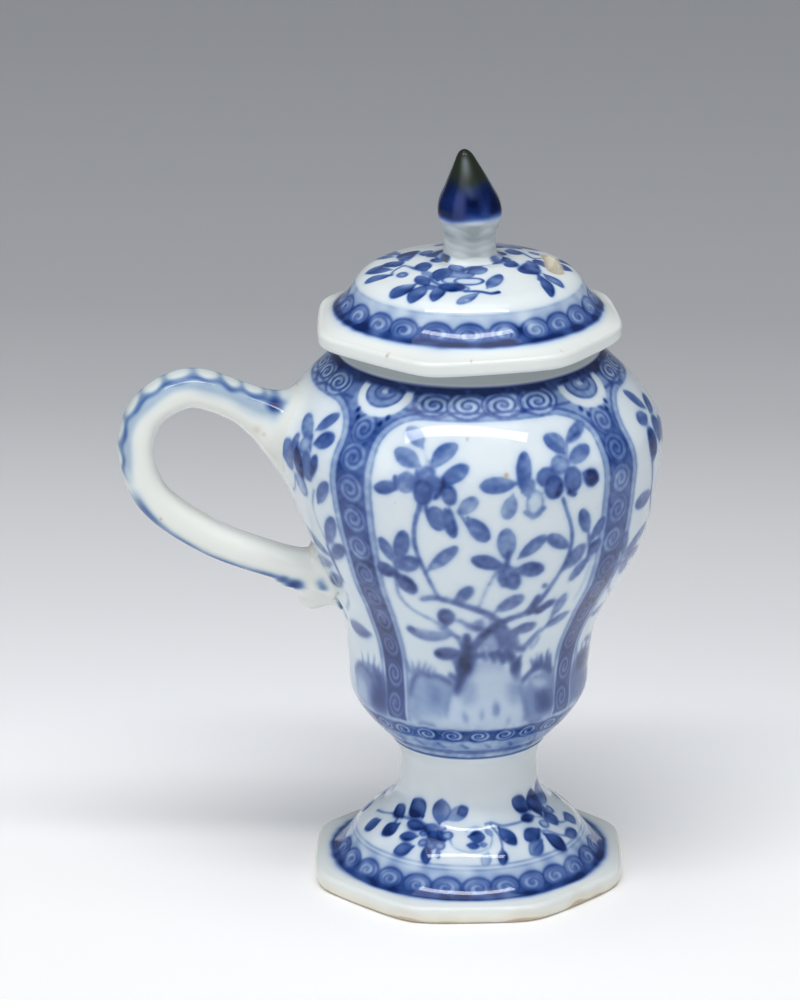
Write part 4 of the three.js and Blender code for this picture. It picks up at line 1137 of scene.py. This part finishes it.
def make_cover():
    rim = rim_line(LIP, COVER_RIM_R, COVER_RIM_HEIGHT)
    outer = even(cover_line(), .18)
    side, top = LIP + 4.8, CROWN - COVER_WALL
    hollow = [(FLANGE_IN, LIP), (FLANGE_IN, LIP + 2.4), (17.2, side), (14.3, mix(side, top, .56)),
              (9, mix(side, top, .86)), (.05, top)]
    low = np.vstack([even(spline(hollow, 12), .6)[::-1], [(19, LIP), (23, LIP), (26, LIP)]])
    slope = even(spline([rim[-1], (25.6, LIP + 3.15), (24.7, LIP + 3.75), outer[0]], 10), .25)[1:-1]
    close = [(2.4, CROWN + .02), (.05, CROWN + .02)]
    fall = np.linspace(1, 0, len(slope) + 2)[1:-1] ** 1.5
    z, a, r, points, ink = octagonal((low, rim, slope, outer, close), COVER_FACETS, inner_cut=.7, fall=fall,
                                     size=11, seeds=(6, 31), fade_out=10, bleed=4.5, paint_on=paint_cover,
                                     looks={"fat": 1.08, "deep": .96, "pointed": .35})
    over = np.where(z > LIP + 3, slot_distance(points), 9)
    ink *= smooth(over / .9)
    stain = np.maximum(.9 * bell(np.clip(over, 0, None), .5), spots(r, a, z, COVER_SPOTS))
    pool = .6 * smooth((8.4 - r) / 2.4) * (z > CROWN - 2) * unpainted(ink, 2)
    cream = .35 * (z < LIP + 3.6) * (r > 24.6) * unpainted(ink, 4)
    return turned_mesh("lid_cover", points, ink=np.clip(ink, 0, 1.15), stain=stain, pool=pool, cream=cream)


def slot_bar():
    """The bar that the spoon slot is cut with."""
    turn = np.linspace(0, math.pi, 17)
    ring = [(SLOT_WIDTH / 2 * math.cos(t), SLOT_STRAIGHT + SLOT_WIDTH / 2 * math.sin(t)) for t in turn]
    ring += [(-x, -y) for x, y in ring]
    c, s = math.cos(SLOT_TILT), math.sin(SLOT_TILT)
    points = []
    for z in (-7.0, 7.0):
        points += [(AXIS_X + SLOT_R + x * c + z * s, y, CROWN - COVER_WALL - x * s + z * c) for x, y in ring]
    n = len(ring)
    faces = [tuple(range(n))[::-1], tuple(range(n, 2 * n))]
    faces += [(k, (k + 1) % n, n + (k + 1) % n, n + k) for k in range(n)]
    mesh = bpy.data.meshes.new("slot_bar")
    mesh.from_pydata([tuple(c * .001 for c in p) for p in points], [], faces)
    bar = bpy.data.objects.new("slot_bar", mesh)
    bpy.context.scene.collection.objects.link(bar)
    return bar


def cut_slot(cover, bare):
    """Cuts the slot through the cover and leaves its walls unglazed."""
    bar = slot_bar()
    bar.data.materials.append(bare)
    cut = cover.modifiers.new("slot", "BOOLEAN")
    cut.operation = "DIFFERENCE"
    cut.solver = "EXACT"
    cut.material_mode = "TRANSFER"
    cut.object = bar
    bpy.context.view_layer.update()
    done = bpy.data.meshes.new_from_object(cover.evaluated_get(bpy.context.evaluated_depsgraph_get()))
    cover.modifiers.clear()
    old = cover.data
    cover.data = done
    bpy.data.meshes.remove(old)
    done.name = "lid_cover"
    bpy.data.objects.remove(bar)


# The flange and the finial

def make_flange():
    low = LIP - FLANGE_DEPTH
    section = spline([(FLANGE_IN, LIP - .02), (FLANGE_IN, low + .6), (18.1, low + .1), (18.5, low),
                      (19.5, low), (19.9, low + .2), (FLANGE_OUT, low + .6), (FLANGE_OUT, LIP - .02)], 10)
    z, a, r = grid(even(section, .35), round_angles(1.2, 1.5))
    return turned_mesh("lid_flange", place(r, a, z), ink=0 * r, stain=0 * r + .1)


def make_finial():
    """A bud with eight faint petals. Its neck is pooled with grey glaze, its tip is dark."""
    neck = CROWN + 5.6
    rise = TIP - neck
    rows = [(FINIAL_R + 1.0, CROWN - .17), (5.2, CROWN + .14), (4.86, CROWN + .6), (4.7, CROWN + 1.4),
            (4.6, CROWN + 2.7), (4.55, CROWN + 3.9), (mix(4.5, 5.8, .45), neck)]
    bud = ((5.78, .16), (5.7, .3), (4.3, .52), (2.38, .79), (1.16, .95), (.5, .988))
    rows += [(radius, neck + up * rise) for radius, up in bud] + [(.02, TIP - .01)]
    z, a, r = grid(even(spline(rows, 30), .12), np.arange(-180, 180, 1.6))
    share = np.clip((z - neck) / rise, 0, 1)
    crease = .5 + .5 * np.cos(np.radians(a) * 8 + .7)
    r = r * (1 - .04 * np.sin(math.pi * share) * crease)
    points = place(r, a, z, .25 - share ** 2)
    patch = waves(points, 5, 42)
    above = z - neck - .9
    shade = .94 - .3 * smooth((.36 - share) / .2) * smooth((a + 42) / 50) + .08 * patch
    skirt = smooth((CROWN + 1.2 + .15 * patch - z) / .6)
    blue = np.maximum(smooth((above - .2 * patch) / 2.3) * shade,
                      .74 * skirt * smooth((np.abs(a + 7) - 38) / 16) * (.9 + .2 * patch))
    violet = .5 * between(a, -44, 12, -8, 12) * between(share, .1, .12, .6, .15)
    # A pale streak down the bud's front, facing the camera: a painted reflection on its glaze.
    reflection_streak = bell(a + 9 - 17 * smooth((.6 - share) / .3), 7 + 13 * share)
    pale = .26 * reflection_streak * between(share, .4, .2, .98, .12) * (1 + .3 * patch)
    olive = smooth((share - .48 - .03 * patch) / .24)
    pool = .72 + .16 * patch + .08 * np.sin(4.2 * z + 1.5 * patch + np.radians(a))
    pool = pool * (1 - smooth(above / 1.4)) * (1 - .75 * skirt)
    return turned_mesh("lid_finial", points, ink=np.clip(blue, 0, 1.1), pool=np.clip(pool, 0, 1),
                       violet=violet, olive=olive, pale=pale)


# Materials

def plug(tree, socket, value):
    """Links a socket to another node, or sets it to a number or a colour."""
    if isinstance(value, bpy.types.NodeSocket):
        tree.links.new(value, socket)
    else:
        socket.default_value = value


def feed(tree, made, **inputs):
    for key, value in inputs.items():
        plug(tree, made.inputs[key.replace("_", " ")], value)


def node(tree, kind, **inputs):
    made = tree.nodes.new(kind)
    feed(tree, made, **inputs)
    return made


def ramp(tree, stops, share):
    made = tree.nodes.new("ShaderNodeValToRGB")
    band = made.color_ramp
    band.interpolation = "EASE" if len(stops) == 2 else "LINEAR"
    while len(band.elements) > 1:
        band.elements.remove(band.elements[-1])
    band.elements[0].position = stops[0][0]
    band.elements[0].color = (*stops[0][1], 1)
    for at, colour in stops[1:]:
        band.elements.new(at).color = (*colour, 1)
    plug(tree, made.inputs[0], share)
    return made.outputs[0]


def value_of(tree, name):
    made = tree.nodes.new("ShaderNodeAttribute")
    made.attribute_name = name
    return made.outputs["Fac"]


def maths(tree, operation, a, b):
    made = tree.nodes.new("ShaderNodeMath")
    made.operation = operation
    plug(tree, made.inputs[0], a)
    plug(tree, made.inputs[1], b)
    return made.outputs[0]


def clamped(tree, value):
    made = tree.nodes.new("ShaderNodeClamp")
    plug(tree, made.inputs[0], value)
    return made.outputs[0]


def blend_colour(tree, share, a, b):
    made = tree.nodes.new("ShaderNodeMix")
    made.data_type = "RGBA"
    for index, value in ((0, share), (6, a), (7, b)):
        plug(tree, made.inputs[index], value)
    return made.outputs[2]


def new_material(name):
    """A material with its nodes, its shader and the place on the object."""
    material = bpy.data.materials.new(name)
    material.use_nodes = True
    tree = material.node_tree
    at = tree.nodes.new("ShaderNodeTexCoord").outputs["Object"]
    return material, tree, tree.nodes["Principled BSDF"], at


BLUES = [(0, (.77, .83, .845)), (.1, (.69, .765, .83)), (.25, (.52, .63, .76)), (.42, (.235, .345, .57)),
         (.6, (.09, .16, .40)), (.78, (.032, .08, .28)), (.92, (.008, .038, .18)), (1, (.001, .014, .10))]
VIOLETS = [(0, (.75, .83, .86)), (.1, (.68, .775, .85)), (.25, (.49, .60, .755)), (.42, (.25, .35, .57)),
           (.6, (.12, .175, .39)), (.78, (.065, .10, .27)), (.92, (.036, .06, .18)), (1, (.02, .034, .10))]
GREYER = [(0, (.83, .85, .81)), (.1, (.70, .765, .785)), (.25, (.50, .60, .68)), (.42, (.255, .365, .52)),
          (.6, (.10, .18, .39))] + BLUES[5:]
BUD_BLUES = [(0, (.77, .83, .845)), (.12, (.66, .74, .82)), (.32, (.36, .47, .67)), (.5, (.11, .20, .46)),
             (.68, (.024, .072, .28)), (.84, (.003, .018, .11)), (1, (.0, .004, .038))]
# The pool colour is glaze pooled in hollows, and on the body's neck it is also painted shadow under the lid.
TINTS = {"pool": (.38, .425, .43), "violet": (.05, .07, .22), "olive": (.016, .023, .016),
         # On the bud, pale is a painted reflection.
         "pale": (.34, .38, .40), "stain": (.46, .34, .2), "cream": (.87, .865, .775)}
# The lower bowl is painted in a blue nearer violet, between these two heights in metres
VIOLET_LOW, VIOLET_HIGH = .0335, .073


def glaze(name, tints, blues, violets, rough, waviness, shine=.5):
    """Painted porcelain: how much blue there is comes from the painting, and its mottling from noise."""
    material, tree, shader, at = new_material(name)
    mottle = node(tree, "ShaderNodeTexNoise", Vector=at, Scale=420.0, Detail=4.0, Roughness=.6)
    spread = maths(tree, "MULTIPLY", maths(tree, "SUBTRACT", mottle.outputs["Fac"], .5), .2)
    ink = value_of(tree, "ink")
    ink = maths(tree, "ADD", ink, maths(tree, "MULTIPLY", ink, spread))
    height = node(tree, "ShaderNodeSeparateXYZ", Vector=at).outputs["Z"]
    drift = node(tree, "ShaderNodeTexNoise", Vector=at, Scale=70.0, Detail=2.0)
    below = maths(tree, "MULTIPLY", maths(tree, "SUBTRACT", VIOLET_HIGH, height), 45.0)
    below = maths(tree, "ADD", below, maths(tree, "MULTIPLY", drift.outputs["Fac"], .5))
    above = clamped(tree, maths(tree, "MULTIPLY", maths(tree, "SUBTRACT", height, VIOLET_LOW), 200.0))
    share = clamped(tree, maths(tree, "MULTIPLY", below, above))
    colour = blend_colour(tree, share, ramp(tree, blues, ink), ramp(tree, violets, ink))
    for tint in tints:
        colour = blend_colour(tree, value_of(tree, tint), colour, (*TINTS[tint], 1))
    skin = node(tree, "ShaderNodeTexNoise", Vector=at, Scale=150.0, Detail=1.0, Roughness=.4)
    bump = node(tree, "ShaderNodeBump", Strength=.055 * waviness, Distance=.0004, Height=skin.outputs["Fac"])
    feed(tree, shader, Base_Color=colour, Roughness=rough, IOR=1.45, Specular_IOR_Level=shine,
         Normal=bump.outputs[0])
    return material


def bare_clay(name, colour, dark):
    """Unglazed porcelain, burnt a little brown."""
    material, tree, shader, at = new_material(name)
    grain = node(tree, "ShaderNodeTexNoise", Vector=at, Scale=420.0, Detail=5.0, Roughness=.7).outputs["Fac"]
    bump = node(tree, "ShaderNodeBump", Strength=.3, Distance=.0002, Height=grain)
    tint = ramp(tree, [(.3, dark), (.7, colour)], grain)
    feed(tree, shader, Base_Color=tint, Roughness=.6, Normal=bump.outputs[0])
    return material


# Stage. The paper's colour is painted shade: white under the pot, greyer and cooler behind it as the lamps'
# light falls off: (metres behind the pot, lightness, coolness).

PAPER = [(-.1, .925, .0), (-.016, .93, .0), (.012, .95, .01), (.032, .95, .02), (.058, .93, .035),
         (.084, .87, .04), (.14, .754, .045), (.203, .651, .048), (.272, .518, .06), (.349, .442, .07),
         (.447, .43, .08), (.598, .41, .085), (.771, .41, .09)]
PAPER_LEAN, PAPER_START, PAPER_LENGTH, PAPER_GLOW = .21, .1, .9, .09
PAPER_FRONT, PAPER_BEND, PAPER_RADIUS, PAPER_TOP, PAPER_HALF = -2.6, 1.2, .9, 3.2, 2.4


def paper():
    material, tree, shader, at = new_material("paper")
    split = node(tree, "ShaderNodeSeparateXYZ", Vector=at)
    # The painted shade leans so that the paper is lighter to the left, where the stronger lamp stands.
    behind = maths(tree, "ADD", split.outputs["Y"], maths(tree, "MULTIPLY", split.outputs["X"], PAPER_LEAN))
    share = maths(tree, "MULTIPLY", maths(tree, "ADD", behind, PAPER_START), 1 / PAPER_LENGTH)
    stops = []
    for y, grey, cool in PAPER:
        stops.append(((y + PAPER_START) / PAPER_LENGTH, (grey * (1 - cool), grey * (1 - .7 * cool), grey)))
    colour = ramp(tree, stops, share)
    # The paper also glows faintly for camera and glossy rays: painted light on top of its lamp-lit colour.
    rays = tree.nodes.new("ShaderNodeLightPath")
    seen = maths(tree, "ADD", rays.outputs["Is Camera Ray"], rays.outputs["Is Glossy Ray"])
    feed(tree, shader, Base_Color=colour, Emission_Color=colour, Roughness=.7, Specular_IOR_Level=.2,
         Emission_Strength=maths(tree, "MULTIPLY", seen, PAPER_GLOW))
    return material


def sweep():
    """A table top that curves up into a backdrop."""
    profile = [(PAPER_FRONT, 0)]
    for t in np.linspace(0, math.pi / 2, 24):
        profile.append((PAPER_BEND + PAPER_RADIUS * math.sin(t), PAPER_RADIUS * (1 - math.cos(t))))
    profile.append((PAPER_BEND + PAPER_RADIUS, PAPER_TOP))
    points = [(x, y, z) for y, z in profile for x in (-PAPER_HALF, PAPER_HALF)]
    faces = [(k, k + 1, k + 3, k + 2) for k in range(0, len(points) - 2, 2)]
    mesh = bpy.data.meshes.new("sweep")
    mesh.from_pydata(points, [], faces)
    mesh.polygons.foreach_set("use_smooth", np.ones(len(faces), bool))
    mesh.materials.append(paper())
    floor = bpy.data.objects.new("sweep", mesh)
    bpy.context.scene.collection.objects.link(floor)


def panel_light(name, at, target, size, power):
    data = bpy.data.lights.new(name, "AREA")
    data.shape = "RECTANGLE"
    data.size, data.size_y = size
    data.energy = power
    lamp = bpy.data.objects.new(name, data)
    lamp.location = at
    lamp.rotation_mode = "QUATERNION"
    lamp.rotation_quaternion = (Vector(target) - Vector(at)).to_track_quat("-Z", "Y")
    bpy.context.scene.collection.objects.link(lamp)


CAMERA_TURN, CAMERA_LIFT, CAMERA_DISTANCE, CAMERA_HEIGHT = math.radians(-7), math.radians(19.3), 1.026, .07091
CAMERA_LENS, CAMERA_SENSOR, CAMERA_SHIFT = 205.2, 36, -.0685


def set_camera():
    data = bpy.data.cameras.new("camera")
    data.lens, data.sensor_width, data.sensor_fit = CAMERA_LENS, CAMERA_SENSOR, "AUTO"
    data.shift_x = CAMERA_SHIFT
    data.clip_start, data.clip_end = .05, 20
    camera = bpy.data.objects.new("camera", data)
    across = math.cos(CAMERA_LIFT)
    back = Vector((math.sin(CAMERA_TURN) * across, -math.cos(CAMERA_TURN) * across, math.sin(CAMERA_LIFT)))
    camera.location = Vector((AXIS_X * .001, 0, CAMERA_HEIGHT)) + back * CAMERA_DISTANCE
    camera.rotation_mode = "QUATERNION"
    camera.rotation_quaternion = (-back).to_track_quat("-Z", "Y")
    bpy.context.scene.collection.objects.link(camera)
    bpy.context.scene.camera = camera


def set_stage():
    sweep()
    world = bpy.data.worlds.new("room")
    bpy.context.scene.world = world
    world.use_nodes = True
    world.node_tree.nodes["Background"].inputs[0].default_value = (.93, .97, 1, 1)
    world.node_tree.nodes["Background"].inputs[1].default_value = .26
    panel_light("strip", (-.07, -.495, 1.249), (0, 0, .07), (1.4, .17), 8.5)
    panel_light("top", (-.07, -.2, 1.3), (0, 0, .07), (1.2, .8), 5.1)
    panel_light("left", (-.8, -.8, .5), (0, 0, .06), (1.2, 1.1), 3.1)
    panel_light("right", (.8, -.8, .5), (0, 0, .06), (1.2, 1.1), 1.15)
    set_camera()
    bpy.context.scene.view_settings.view_transform = "Standard"


painted = glaze("painted_glaze", ("cream", "pool", "stain"), BLUES, VIOLETS, rough=.05, waviness=1.0)
plain = glaze("plain_glaze", ("pool", "stain"), GREYER, GREYER, rough=.07, waviness=1.3)
bud_glaze = glaze("bud_glaze", ("violet", "pool", "olive", "pale"), BUD_BLUES, BUD_BLUES, rough=.08,
                  waviness=1.0, shine=.2)
bare = bare_clay("bare_clay", (.80, .74, .60), (.55, .42, .28))
# Unglazed clay for the slot's walls and the flange: its cream hue is the clay's own, and its lightness is
# partly painted light on the slot's shaded walls.
cream = bare_clay("bare_cream_and_painted_light", (.93, .90, .79), (.88, .83, .70))

body, painting = make_body()
add_piece(make_foot(), "pot", ["foot"], "painted_porcelain", painted, bare)
add_piece(body, "pot", ["body_lower", "body_upper"], "painted_porcelain", painted)
add_piece(make_handle(painting), "pot", ["handle"], "plain_porcelain", plain)
add_piece(make_spur(painting), "pot", ["handle"], "plain_porcelain", plain)
cover = add_piece(make_cover(), "lid", ["cover"], "painted_porcelain", painted, cream)
cut_slot(cover, cream)
add_piece(make_flange(), "lid", ["cover_flange"], "bare_porcelain", cream)
add_piece(make_finial(), "lid", ["finial"], "bud_glaze", bud_glaze)
set_stage()
